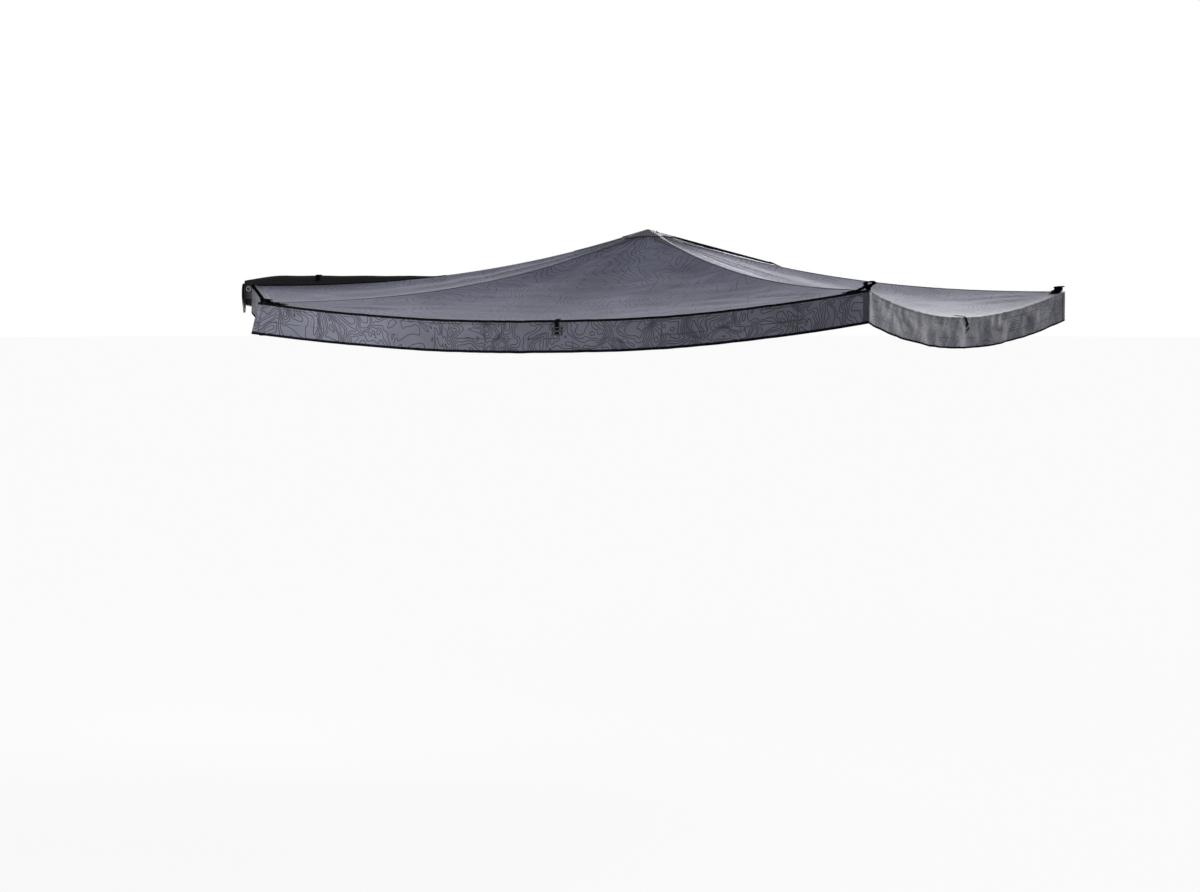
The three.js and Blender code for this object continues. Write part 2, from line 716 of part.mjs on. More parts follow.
function addEdgeStrap(panel, name) {
  const chord = ridges[panel + 1].corner.distanceTo(ridges[panel].corner);
  const out = outward(panel, 1 / 2);
  const facing = new THREE.Vector3(out.x, out.y, 0);
  const rows = strapRunRows + strapFallRows;
  const place = (u, v) => {
    const t = 1 / 2 + ((2 * u - 1) * strapHalfWidth) / chord;
    const run = Math.max(0, strapRun * (1 - (v * rows) / strapRunRows));
    const fall = Math.max(0, strapFall * ((v * rows - strapRunRows) / strapFallRows));
    return edgePlace(panel, t, run, fall, facing);
  };
  const strap = sheet(strapColumns, rows, place, webbingLift, webbingLift + webbing);
  const middle = valance(panel, 1 / 2, strapFall).at;
  const lift = airGap + cloth + webbingLift;
  const buckle = box(
    lift, lift + buckleDepth, -buckleWidth / 2, buckleWidth / 2, -buckleHeight / 2, buckleHeight / 2,
  );
  buckle.rotateZ(Math.atan2(out.y, out.x)).translate(middle.x, middle.y, middle.z);
  addWebbing("edge_strap_" + name, carve([strap, buckle]));
}

// Section of the rolled lid at x: half its height, and its middle.
function lidHalf(x) {
  const toFront = Math.min(1, (spineEnd - x) / lidTaper);
  const turn = (lidRipples * 2 * Math.PI * (x - spineStart)) / spineLength;
  const height = lidHeight * THREE.MathUtils.lerp(lidFrontShare, 1, Math.sin((toFront * Math.PI) / 2));
  return (height / 2) * (1 + (lidRipple / lidHeight) * Math.sin(turn));
}

function lidPoint(x, angle, grow = 0) {
  const half = lidHalf(x);
  const [c, s] = [Math.cos(angle), Math.sin(angle)];
  const across = Math.sign(c) * Math.abs(c) ** lidWidthPower;
  const up = Math.sign(s) * Math.abs(s) ** lidHeightPower;
  const y = spineBack + airGap + lidWidth / 2 + (lidWidth / 2 + grow) * across;
  return new THREE.Vector3(x, y, spineTop + airGap + half + (half + grow) * up);
}

function addCover() {
  const lidStart = spineStart + hubWebStart + hubWebLength + lidHeight;
  const rings = [];
  for (let station = 0; station <= lidStations; station++) {
    const x = THREE.MathUtils.lerp(lidStart, spineEnd, station / lidStations);
    for (let side = 0; side < lidSides; side++) rings.push(lidPoint(x, (side / lidSides) * 2 * Math.PI));
  }
  const index = [];
  for (let station = 0; station < lidStations; station++)
    for (let side = 0; side < lidSides; side++) {
      const [a, b] = [station * lidSides + side, station * lidSides + ((side + 1) % lidSides)];
      index.push(a, b, b + lidSides, a, b + lidSides, a + lidSides);
    }
  const lastRing = lidStations * lidSides;
  for (let side = 1; side < lidSides - 1; side++) {
    index.push(0, side + 1, side);
    index.push(lastRing, lastRing + side, lastRing + side + 1);
  }
  const lid = new THREE.BufferGeometry().setFromPoints(rings);
  lid.setIndex(index);
  addWebbing("cover_lid", closed(lid));

  const flapY = (spineBack + spineFront) / 2;
  const hang = (u, v) => {
    const x = THREE.MathUtils.lerp(spineStart, spineEnd, u);
    const swing = flapWave * v * Math.sin(2 * Math.PI * flapWaves * u);
    const rise = flapRiseShare * THREE.MathUtils.smoothstep(x, spineEnd - flapRiseLength, spineEnd);
    const drop = flapDrop * (1 - rise);
    const at = new THREE.Vector3(x, flapY + swing, spineFloor - airGap - v * drop);
    return { at, facing: new THREE.Vector3(0, 1, 0) };
  };
  addWebbing("cover_flap", sheet(flapColumns, flapRows, hang, -coverCloth / 2, coverCloth / 2));

  const front = (u, v) => {
    const taper = 1 - frontTaperShare * v ** frontTaperPower;
    const y = spineBack + frontWidth * (1 / 2 + (u - 1 / 2) * taper);
    const down = Math.min(1, frontBulgeShare + v);
    const bulge = frontBulge * Math.sin(Math.PI * u) * Math.sin(Math.PI * down);
    const x = spineEnd + 2 * airGap + endCapPlate + bulge;
    const z = spineTop - v * frontDrop;
    return { at: new THREE.Vector3(x, y, z), facing: new THREE.Vector3(1, 0, 0) };
  };
  addWebbing("cover_front", sheet(frontColumns, frontRows, front, 0, coverCloth));

  const strapX = spineEnd - coverStrapPlace;
  const rows = coverStrapTailRows + coverStrapWrapRows;
  const wrap = (u, v) => {
    const wrapped = (v * rows - coverStrapTailRows) / coverStrapWrapRows;
    const angle = Math.max(0, wrapped) * Math.PI;
    const at = lidPoint(strapX, angle, coverStrapLift);
    at.x += (u - 1 / 2) * coverStrapWidth;
    at.z -= Math.max(0, 1 - (v * rows) / coverStrapTailRows) * coverStrapTail;
    return { at, facing: new THREE.Vector3(0, Math.cos(angle), Math.sin(angle)) };
  };
  addWebbing("cover_strap", sheet(1, rows, wrap, 0, webbing));
}

addBracket(0, "rear");
addBracket(bracketSpacing, "front");
addSpine();
addHub();
addMast();
armAngles.forEach((angle, arm) => addArm(arm));
addCanopy();
armAngles.forEach((angle, arm) => addCornerTab(arm));
addEdgeStrap(1, "near");
addEdgeStrap(2, "rear");
addCover();

export default awning;
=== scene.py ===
"""Side awning for a rack: its cloth, webbing, castings and tubes, dressed around the fixed frame.

Lengths are in metres, in the frame's own axes: +X along the case to its front end, +Y to the
side on which the awning opens, +Z up.
"""

import json
import logging
import math
from collections.abc import Callable, Sequence
from dataclasses import dataclass
from enum import Enum

import bmesh
import bpy
from mathutils import Matrix, Vector, noise

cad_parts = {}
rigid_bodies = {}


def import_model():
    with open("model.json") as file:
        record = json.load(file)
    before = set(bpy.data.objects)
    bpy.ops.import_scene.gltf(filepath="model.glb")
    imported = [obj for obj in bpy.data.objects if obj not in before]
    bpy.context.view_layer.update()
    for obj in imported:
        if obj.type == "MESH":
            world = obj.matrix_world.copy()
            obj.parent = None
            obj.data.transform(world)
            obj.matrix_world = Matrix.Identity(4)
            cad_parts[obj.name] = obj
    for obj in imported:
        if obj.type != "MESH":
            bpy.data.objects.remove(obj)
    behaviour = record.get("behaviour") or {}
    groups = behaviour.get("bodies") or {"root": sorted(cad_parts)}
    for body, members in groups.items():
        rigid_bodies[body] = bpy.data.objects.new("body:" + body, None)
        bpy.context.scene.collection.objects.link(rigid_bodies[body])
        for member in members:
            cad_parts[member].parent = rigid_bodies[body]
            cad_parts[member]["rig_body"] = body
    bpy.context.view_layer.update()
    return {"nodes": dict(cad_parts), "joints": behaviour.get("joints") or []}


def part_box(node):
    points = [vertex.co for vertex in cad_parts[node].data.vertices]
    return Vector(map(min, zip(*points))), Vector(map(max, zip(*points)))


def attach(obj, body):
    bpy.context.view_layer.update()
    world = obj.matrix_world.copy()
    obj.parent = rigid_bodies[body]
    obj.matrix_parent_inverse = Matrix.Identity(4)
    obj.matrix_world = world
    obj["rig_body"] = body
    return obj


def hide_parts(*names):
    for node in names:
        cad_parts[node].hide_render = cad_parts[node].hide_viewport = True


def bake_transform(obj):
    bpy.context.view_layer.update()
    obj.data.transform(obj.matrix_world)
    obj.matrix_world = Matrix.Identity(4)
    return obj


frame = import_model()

log = logging.getLogger("awning")

MM = 0.001
WELD = 0.01 * MM  # points this close are one point
AIR_GAP = 0.3 * MM  # between faces that touch on the real thing
UP = Vector((0, 0, 1))
FLAT_MAP = "flat"  # UV map that holds the cloth's own flat place in metres
MIDDLE_TONES = (0.3, 0.7)  # most of a noise pattern lies between these

Colour = tuple[float, float, float, float]
Material = bpy.types.Material
Mesh = bmesh.types.BMesh
Piece = bpy.types.Object
Place = Callable[[float, float], Vector]
Range = tuple[float, float]
Socket = bpy.types.NodeSocket
Tree = bpy.types.NodeTree


class Slot(Enum):
    """The record's material slots."""

    BLACK_STEEL = "black_steel"
    ZINC_STEEL = "zinc_steel"
    ALLOY = "alloy"
    BLACK_ALLOY = "black_alloy"
    BLACK_PLASTIC = "black_plastic"
    RUBBER = "rubber"
    CANOPY = "canopy_cloth"
    VALANCE = "valance_cloth"
    WEBBING = "webbing"
    COVER = "cover_cloth"


def linear(code: str) -> Colour:
    """Turns an sRGB hex colour into linear light.

    Args:
        code: six hex digits.

    Returns:
        Red, green, blue and an alpha of 1.
    """
    values = [int(code[i : i + 2], 16) / 255 for i in (0, 2, 4)]
    turned = [v / 12.92 if v <= 0.04045 else ((v + 0.055) / 1.055) ** 2.4 for v in values]
    return (*turned, 1.0)


def feed(node: bpy.types.Node, inputs: dict) -> None:
    """Gives a node its values and its links.

    Args:
        node: the node.
        inputs: socket name or number, to a value or to the socket that feeds it.
    """
    for name, value in inputs.items():
        if isinstance(value, Socket):
            node.id_data.links.new(value, node.inputs[name])
        else:
            node.inputs[name].default_value = value


def add_node(tree: Tree, kind: str, inputs: dict | None = None, **settings) -> bpy.types.Node:
    """Adds a node with its settings, its values and its links.

    Args:
        tree: the node tree that gets it.
        kind: the node's type name.
        inputs: socket name or number, to a value or to the socket that feeds it.
        settings: the node's own properties.

    Returns:
        The node.
    """
    node = tree.nodes.new(kind)
    for name, value in settings.items():
        setattr(node, name, value)
    feed(node, inputs or {})
    return node


def compute(tree: Tree, operation: str, *values: Socket | float) -> Socket:
    """Gives the result of a Math node."""
    return add_node(tree, "ShaderNodeMath", dict(enumerate(values)), operation=operation).outputs[0]


def compute_vector(tree: Tree, operation: str, inputs: dict, output: int | str = 0) -> Socket:
    """Gives the result of a Vector Math node."""
    return add_node(tree, "ShaderNodeVectorMath", inputs, operation=operation).outputs[output]


def remap(
    tree: Tree, value: Socket, source: Range, target: Range = (0.0, 1.0), interpolation: str = "LINEAR"
) -> Socket:
    """Carries a value from one range over to another.

    Args:
        tree: the node tree.
        value: the value.
        source: the range that it comes from.
        target: the range that it goes to; outside them it is held.
        interpolation: the node's interpolation.

    Returns:
        The new value.
    """
    ends = dict(zip(("From Min", "From Max", "To Min", "To Max"), (*source, *target)))
    node = add_node(tree, "ShaderNodeMapRange", {"Value": value, **ends}, interpolation_type=interpolation)
    return node.outputs[0]


def mottle(tree: Tree, place: Socket, size: float, detail: float, dimensions: str = "2D", **shape) -> Socket:
    """Gives an uneven pattern.

    Args:
        tree: the node tree.
        place: where it is read.
        size: of its patches, in the place's own unit.
        detail: how many finer layers it has.
        dimensions: "2D" or "3D".
        shape: its Roughness and Distortion.

    Returns:
        The pattern, from 0 to 1.
    """
    inputs = {"Vector": place, "Scale": 1 / size, "Detail": detail, **shape}
    return add_node(tree, "ShaderNodeTexNoise", inputs, noise_dimensions=dimensions).outputs[0]


def emboss(
    tree: Tree, height: Socket, distance: float, strength: float = 1.0, under: Socket | None = None
) -> Socket:
    """Turns a height into a normal.

    Args:
        tree: the node tree.
        height: the height, from 0 to 1.
        distance: how deep it is, in metres.
        strength: how much of it shows.
        under: the normal that it lies on.

    Returns:
        The normal.
    """
    inputs = {"Height": height, "Distance": distance, "Strength": strength}
    if under is not None:
        inputs["Normal"] = under
    return add_node(tree, "ShaderNodeBump", inputs).outputs[0]


def mix_colours(tree: Tree, share: Socket, first: Colour | Socket, second: Colour | Socket) -> Socket:
    """Mixes two colours: the first at a share of 0 and the second at 1."""
    return add_node(tree, "ShaderNodeMix", {0: share, 6: first, 7: second}, data_type="RGBA").outputs[2]


def weave(tree: Tree, flat: Socket, thread: float) -> Socket:
    """Gives the height of a plain weave, from the distance between its threads."""
    return add_node(tree, "ShaderNodeTexChecker", {"Vector": flat, "Scale": 1 / thread}).outputs[1]


def flat_place(tree: Tree) -> Socket:
    """Gives the place on the flat cloth."""
    return add_node(tree, "ShaderNodeUVMap", uv_map=FLAT_MAP).outputs[0]


def new_tree(owner: Material | bpy.types.World) -> Tree:
    """Gives a material or a world an empty node tree."""
    owner.use_nodes = True
    owner.node_tree.nodes.clear()
    return owner.node_tree


def new_material(name: str) -> tuple[Material, Tree, bpy.types.Node]:
    """Makes a material with nothing but its shader.

    Args:
        name: the real material's name.

    Returns:
        The material, its tree and its Principled shader, which is wired to the output.
    """
    material = bpy.data.materials.new(name)
    tree = new_tree(material)
    shader = add_node(tree, "ShaderNodeBsdfPrincipled")
    add_node(tree, "ShaderNodeOutputMaterial", {"Surface": shader.outputs[0]})
    return material, tree, shader


@dataclass(frozen=True)
class PrintedCloth:
    """Coated polyester cloth, plain woven, printed with contour lines and a wide map grid.

    It gives the eye a soft grey with thin dark lines, and pale streaks where it is creased.
    """

    name: str
    ground: str
    ink: str
    ink_share: float = 0.6
    line_width: float = 3.0 * MM  # the real lines are about 1 mm; drawn coarser so that they show
    line_fade: Range = (0.7, 1.5)  # half widths from a line's middle, over which it fades
    hill_size: float = 0.17
    levels: float = 23.0
    grid_across: float = 0.21
    grid_along: float = 0.066
    grid_width: float = 2.0 * MM
    grid_shown: Range = (0.48, 0.56)
    tone_size: float = 0.38
    tone_range: Range = (0.78, 1.22)
    thread: float = 1.5 * MM  # the real threads are 0.3 mm apart; drawn coarser so that they show
    thread_relief: float = 0.06 * MM
    crease: float = 0.09
    crease_stretch: float = 0.35
    crease_relief: float = 2.2 * MM
    roughness: float = 0.62
    gloss: float = 0.3
    sheen: float = 0.12

    def build(self) -> Material:
        """Makes the material on the cloth's flat UV map.

        Returns:
            The material.
        """
        material, tree, shader = new_material(self.name)
        flat = flat_place(tree)
        marks = compute(tree, "MAXIMUM", self.contours(tree, flat), self.grid(tree, flat))
        ink = compute(tree, "MULTIPLY", marks, self.ink_share)
        printed = mix_colours(tree, ink, linear(self.ground), linear(self.ink))
        tone = mottle(tree, flat, self.tone_size, 5.0, Roughness=0.6)
        shade = remap(tree, tone, MIDDLE_TONES, self.tone_range)
        feed(shader, {
            "Base Color": compute_vector(tree, "SCALE", {0: printed, "Scale": shade}),
            "Normal": self.relief(tree, flat),
            "Roughness": self.roughness,
            "Specular IOR Level": self.gloss,
            "Sheen Weight": self.sheen,
            "Sheen Roughness": 0.5,
        })
        return material

    def hills(self, tree: Tree, flat: Socket, shift: tuple[float, float, float]) -> Socket:
        """Gives the height of the made-up hills whose contours are printed.

        Args:
            tree: the material's tree.
            flat: the cloth's flat place.
            shift: how far aside to read it, in metres.

        Returns:
            The height, counted in contour levels.
        """
        moved = compute_vector(tree, "ADD", {0: flat, 1: shift})
        land = mottle(tree, moved, self.hill_size, 2.5, Roughness=0.42, Distortion=0.35)
        return compute(tree, "MULTIPLY", land, self.levels)

    def contours(self, tree: Tree, flat: Socket) -> Socket:
        """Draws contour lines of one width: the height's distance from a level over its slope.

        Args:
            tree: the material's tree.
            flat: the cloth's flat place.

        Returns:
            1 on a line and 0 off it.
        """
        step = 0.5 * self.line_width
        here = self.hills(tree, flat, (0, 0, 0))
        across, along = (
            compute(tree, "SUBTRACT", self.hills(tree, flat, shift), here)
            for shift in ((step, 0, 0), (0, step, 0))
        )
        climb = add_node(tree, "ShaderNodeCombineXYZ", {0: across, 1: along}).outputs[0]
        slope = compute_vector(tree, "LENGTH", {0: climb}, "Value")
        steps_off = compute(tree, "DIVIDE", compute(tree, "PINGPONG", here, 0.5), slope)
        return remap(tree, steps_off, self.line_fade, (1.0, 0.0), "SMOOTHSTEP")

    def grid(self, tree: Tree, flat: Socket) -> Socket:
        """Draws the thin straight lines of a map grid.

        Args:
            tree: the material's tree.
            flat: the cloth's flat place.

        Returns:
            A share of the ink on a line, and 0 off it.
        """
        parts = add_node(tree, "ShaderNodeSeparateXYZ", {0: flat})
        off = [
            compute(tree, "PINGPONG", parts.outputs[axis], spacing / 2)
            for axis, spacing in enumerate((self.grid_across, self.grid_along))
        ]
        nearest = compute(tree, "MINIMUM", *off)
        line = remap(tree, nearest, (self.grid_width * 0.4, self.grid_width), (1.0, 0.0))
        shown = remap(tree, mottle(tree, flat, self.grid_across, 1.0), self.grid_shown)
        return compute(tree, "MULTIPLY", line, shown)

    def relief(self, tree: Tree, flat: Socket) -> Socket:
        """Gives the normal of the weave over the small creases of a cloth that was packed away.

        Args:
            tree: the material's tree.
            flat: the cloth's flat place.

        Returns:
            The normal.
        """
        scale = (self.crease_stretch / self.crease, 1 / self.crease, 1)
        creased = add_node(tree, "ShaderNodeMapping", {"Vector": flat, "Scale": scale}).outputs[0]
        folds = mottle(tree, creased, 1.0, 4.0, Roughness=0.6, Distortion=0.8)
        threads = weave(tree, flat, self.thread)
        under = emboss(tree, folds, self.crease_relief, 0.8)
        return emboss(tree, threads, self.thread_relief, 0.5, under)


@dataclass(frozen=True)
class WovenTape:
    """Polyester webbing or binding tape, dyed black.

    It gives the eye a deep, dull black with fine ribs across the tape and a row of stitches by
    each edge.
    """

    name: str
    colour: str
    width: float = 25 * MM
    thread_colour: str = "34353a"
    rib: float = 2.0 * MM
    relief: float = 0.25 * MM
    wear_size: float = 0.03
    wear_range: Range = (0.75, 1.35)
    roughness: float = 0.8
    stitch: float = 7 * MM  # the real stitches are 4 mm long; drawn coarser so that they show
    stitch_share: float = 0.65  # of that length, the rest being the gap
    stitch_row_share: float = 0.34  # of the width, from the middle of the tape to a row
    stitch_width_share: float = 0.035

    def build(self) -> Material:
        """Makes the material on the tape's UV map: the share across it, and metres along it.

        Returns:
            The material.
        """
        material, tree, shader = new_material(self.name)
        flat = flat_place(tree)
        measured = compute_vector(tree, "MULTIPLY", {0: flat, 1: (self.width, 1, 1)})
        ribs = add_node(
            tree, "ShaderNodeTexWave",
            {"Vector": measured, "Scale": 0.05 / self.rib * 2 * math.pi, "Distortion": 0.6, "Detail": 2.0},
            bands_direction="Y",
        ).outputs[1]
        shade = remap(tree, mottle(tree, measured, self.wear_size, 3.0), MIDDLE_TONES, self.wear_range)
        colour = compute_vector(tree, "SCALE", {0: linear(self.colour)[:3], "Scale": shade})
        stitches = self.stitches(tree, flat)
        under = emboss(tree, ribs, self.relief, 0.8)
        feed(shader, {
            "Base Color": mix_colours(tree, stitches, colour, linear(self.thread_colour)),
            "Normal": emboss(tree, stitches, 2 * self.relief, under=under),
            "Roughness": self.roughness,
            "Specular IOR Level": 0.0,
        })
        return material

    def stitches(self, tree: Tree, flat: Socket) -> Socket:
        """Draws the stitches of both rows.

        Args:
            tree: the material's tree.
            flat: the share across the tape, and metres along it.

        Returns:
            1 on a stitch and 0 off it.
        """
        parts = add_node(tree, "ShaderNodeSeparateXYZ", {0: flat})
        off = parts.outputs[0]
        for middle in (0.5, self.stitch_row_share):
            off = compute(tree, "ABSOLUTE", compute(tree, "SUBTRACT", off, middle))
        row = compute(tree, "LESS_THAN", off, self.stitch_width_share)
        turn = compute(tree, "FRACT", compute(tree, "DIVIDE", parts.outputs[1], self.stitch))
        return compute(tree, "MULTIPLY", row, compute(tree, "LESS_THAN", turn, self.stitch_share))


@dataclass(frozen=True)
class CoatedCanvas:
    """Heavy polyester canvas with a black vinyl coat.

    It gives the eye a deep black with a coarse weave and broad soft highlights along its folds, partly from
    their relief and partly painted: the colour is lighter on the crests as painted highlight and darker in
    the hollows as painted shade.
    """

    name: str
    colour: str
    thread: float = 2.2 * MM
    relief: float = 0.18 * MM
    crease: float = 0.06
    crease_relief: float = 2.5 * MM
    # painted highlight and shade: colour scale from the folds' hollows to their crests
    painted_fold_light_range: Range = (0.85, 1.5)
    roughness: float = 0.7
    gloss: float = 0.22

    def build(self) -> Material:
        """Makes the material on the cloth's flat UV map.

        Returns:
            The material.
        """
        material, tree, shader = new_material(self.name)
        flat = flat_place(tree)
        folds = mottle(tree, flat, self.crease, 4.0, Roughness=0.55, Distortion=0.6)
        threads = weave(tree, flat, self.thread)
        under = emboss(tree, folds, self.crease_relief, 0.7)
        # painted light: the colour follows the folds' relief, darker in the hollows and lighter on the
        # crests
        painted_fold_light = remap(tree, folds, (0.35, 0.7), self.painted_fold_light_range)
        feed(shader, {
            "Base Color": compute_vector(tree, "SCALE", {0: linear(self.colour)[:3], "Scale": painted_fold_light}),
            "Normal": emboss(tree, threads, self.relief, 0.5, under),
            "Roughness": self.roughness,
            "Specular IOR Level": self.gloss,
        })
        return material


@dataclass(frozen=True)
class Metal:
    """A metal surface: anodised aluminium or plated steel, drawn along one axis.

    It gives the eye fine lines along the drawing direction and small changes of gloss.
    """

    name: str
    colour: str
    roughness: float
    line: float = 0.6 * MM  # across the drawn lines
    run: float = 40 * MM  # along them
    relief: float = 0.02 * MM
    handled_size: float = 0.07

    def build(self) -> Material:
        """Makes the material on Object coordinates.

        Returns:
            The material.
        """
        material, tree, shader = new_material(self.name)
        place = add_node(tree, "ShaderNodeTexCoord").outputs["Object"]
        scale = (1 / self.run, 1 / self.run, 1 / self.line)
        drawn = add_node(tree, "ShaderNodeMapping", {"Vector": place, "Scale": scale}).outputs[0]
        lines = mottle(tree, drawn, 1.0, 3.0, "3D")
        handled = mottle(tree, place, self.handled_size, 4.0, "3D")
        feed(shader, {
            "Roughness": remap(tree, handled, MIDDLE_TONES, (self.roughness * 0.85, self.roughness * 1.25)),
            "Normal": emboss(tree, lines, self.relief, 0.6),
            "Base Color": linear(self.colour),
            "Metallic": 1.0,
        })
        return material


@dataclass(frozen=True)
class GrainedCoat:
    """Powder coat on steel, moulded nylon or moulded rubber: an even colour over a fine grain.

    It gives the eye a soft gloss that the grain breaks up, and paler rubbed places.
    """

    name: str
    colour: str
    rubbed: str
    roughness: float
    grain: float = 0.9 * MM
    relief: float = 0.05 * MM
    rub_size: float = 0.04
    coat: float = 0.0

    def build(self) -> Material:
        """Makes the material on Object coordinates.

        Returns:
            The material.
        """
        material, tree, shader = new_material(self.name)
        place = add_node(tree, "ShaderNodeTexCoord").outputs["Object"]
        grain = mottle(tree, place, self.grain, 2.0, "3D")
        rub = mottle(tree, place, self.rub_size, 5.0, "3D", Roughness=0.65)
        share = remap(tree, rub, (0.5, 0.8), (0.0, 0.6))
        feed(shader, {
            "Base Color": mix_colours(tree, share, linear(self.colour), linear(self.rubbed)),
            "Normal": emboss(tree, grain, self.relief, 0.6),
            "Roughness": self.roughness,
            "Coat Weight": self.coat,
        })
        return material


@dataclass(frozen=True)
class Finishes:
    """Every finish on the awning."""

    canopy: Material
    valance: Material
    patch: Material
    seam: Material
    webbing: Material
    binding: Material
    cover: Material
    silver_alloy: Material
    black_alloy: Material
    plated_steel: Material
    coated_steel: Material
    nylon: Material
    rubber: Material

    @classmethod
    def build(cls) -> "Finishes":
        """Makes the materials.

        Returns:
            The set of finishes.
        """
        return cls(
            canopy=PrintedCloth(
                "coated_polyester_canopy", "72748c", "282932", line_width=5 * MM, hill_size=0.42, levels=24,
                grid_along=0.21, grid_width=4 * MM, roughness=0.6, gloss=0.05,
            ).build(),
            valance=PrintedCloth(
                "coated_polyester_valance", "6e6f7c", "1f2027", ink_share=0.9, gloss=0.15
            ).build(),
            patch=PrintedCloth("coated_polyester_reinforcement", "363740", "2b2c34", ink_share=0.3).build(),
            # seam cloth: also laid as painted shade in the canopy's hems and the rear valances' head tapes
            seam=PrintedCloth("coated_polyester_seam", "4a4b56", "33343d", ink_share=0.3).build(),
            webbing=WovenTape("polyester_webbing", "0f1013").build(),
            # binding: on the first two valances' heads it is also painted shade under the canopy's edge
            binding=WovenTape("grosgrain_binding", "111116", thread_colour="26262b", rib=1.5 * MM).build(),
            cover=CoatedCanvas("vinyl_coated_canvas", "131316").build(),
            silver_alloy=Metal("clear_anodised_aluminium", "b4b6ba", 0.38).build(),
            black_alloy=GrainedCoat("black_anodised_aluminium", "1c1d20", "2c2d31", 0.42).build(),
            plated_steel=Metal("zinc_plated_steel", "a9abad", 0.3).build(),
            coated_steel=GrainedCoat("powder_coated_steel", "17181a", "26272a", 0.5, coat=0.15).build(),
            nylon=GrainedCoat("moulded_nylon", "18191b", "27282b", 0.55).build(),
            rubber=GrainedCoat("moulded_rubber", "151515", "232323", 0.8).build(),
        )


def take_mesh(name: str, mesh: Mesh) -> bpy.types.Mesh:
    """Turns an edited mesh into data of its own, and frees it."""
    data = bpy.data.meshes.new(name)
    mesh.to_mesh(data)
    mesh.free()
    return data


def add_to_scene(name: str, data: bpy.types.ID) -> Piece:
    """Puts data into the scene as an object."""
    piece = bpy.data.objects.new(name, data)
    bpy.context.scene.collection.objects.link(piece)
    return piece


def finish_piece(name: str, mesh: Mesh, material: Material, slot: Slot, smooth: bool = True) -> Piece:
    """Makes an object of a mesh, with its material, and reports it.

    Args:
        name: the piece's name.
        mesh: its mesh, in place; it is freed.
        material: its material.
        slot: not used.
        smooth: whether its faces are shaded smooth.

    Returns:
        The object, at the origin.
    """
    data = take_mesh(name, mesh)
    data.materials.append(material)
    if smooth:
        data.shade_smooth()
    piece = add_to_scene(name, data)
    log.info("%s: %d faces of %s", name, len(data.polygons), material.name)
    return piece


def make_sheet(faces: tuple[int, int], place: Place, flat: Place) -> Mesh:
    """Lays a grid out as a sheet, with its flat UV map.

    Args:
        faces: how many across and along.
        place: where a point goes, from its shares across and along.
        flat: its place on the flat cloth, from the same shares.

    Returns:
        The mesh, one layer thick.
    """
    mesh = bmesh.new()
    bmesh.ops.create_grid(mesh, x_segments=faces[0], y_segments=faces[1], size=0.5)
    bmesh.ops.translate(mesh, verts=mesh.verts, vec=(0.5, 0.5, 0))
    layer = mesh.loops.layers.uv.new(FLAT_MAP)
    for face in mesh.faces:
        for loop in face.loops:
            loop[layer].uv = flat(loop.vert.co.x, loop.vert.co.y)[:2]
    for vert in mesh.verts:
        vert.co = place(vert.co.x, vert.co.y)
    return mesh


def lay_cloth(
    name: str, faces: tuple[int, int], place: Place, flat: Place, material: Material, slot: Slot,
    thickness: float,
) -> Piece:
    """Makes a piece of cloth or webbing.

    Args:
        name: the piece's name.
        faces: how many across and along.
        place: where a point goes, from its shares across and along.
        flat: its place on the flat cloth, from the same shares.
        material: its material.
        slot: the record's slot for it.
        thickness: in metres, half to either side of the sheet.

    Returns:
        The piece.
    """
    piece = finish_piece(name, make_sheet(faces, place, flat), material, slot)
    modifier = piece.modifiers.new("thickness", "SOLIDIFY")
    modifier.thickness = thickness
    modifier.offset = 0.0
    return piece


def strip_map(width: float, length: float, shift: Range = (0, 0), sideways: bool = False) -> Place:
    """Gives the flat map of a straight strip.

    Args:
        width: of the strip, or 1 where its material counts shares across.
        length: of the strip.
        shift: how far aside it lies on the flat cloth.
        sideways: whether the strip runs the sheet's other way.

    Returns:
        The map, from the shares across and along.
    """
    def flat(u: float, v: float) -> Vector:
        """Gives the place of a point on the flat cloth."""
        across, along = (v, u) if sideways else (u, v)
        return Vector((across * width + shift[0], along * length + shift[1], 0))

    return flat


def round_edges(mesh: Mesh, sharp: float, radius: float, segments: int) -> None:
    """Rounds the edges of a mesh that turn by more than an angle.

    Args:
        mesh: the mesh.
        sharp: the angle, in radians.
        radius: of the rounding.
        segments: faces round it.
    """
    edges = [edge for edge in mesh.edges if edge.is_manifold and edge.calc_face_angle() > sharp]
    bmesh.ops.bevel(
        mesh, geom=edges, offset=radius, affect="EDGES", segments=segments, profile=0.5, material=-1,
        clamp_overlap=True,
    )


def spin_profile(mesh: Mesh, profile: list, axis: Sequence[float], steps: int) -> None:
    """Turns a profile once round an axis through the origin.

    Args:
        mesh: the mesh.
        profile: its vertices and edges.
        axis: the axis.
        steps: faces round it.
    """
    bmesh.ops.spin(
        mesh, geom=profile, cent=(0, 0, 0), axis=axis, dvec=(0, 0, 0), angle=2 * math.pi, steps=steps,
        use_merge=True,
    )
    bmesh.ops.remove_doubles(mesh, verts=mesh.verts, dist=WELD)
    bmesh.ops.recalc_face_normals(mesh, faces=mesh.faces)


@dataclass(frozen=True)
class Arm:
    """One arm's place, from the frame's joints."""

    number: int
    angle: float
    reach: float
    seat: float  # height of the canopy's top over the rib at its tip

    @property
    def body(self) -> str:
        """Name of the arm's body."""
        return f"arm_{self.number}"

    @property
    def direction(self) -> Vector:
        """Direction of the arm, in plan."""
        return Vector((math.cos(self.angle), math.sin(self.angle), 0))


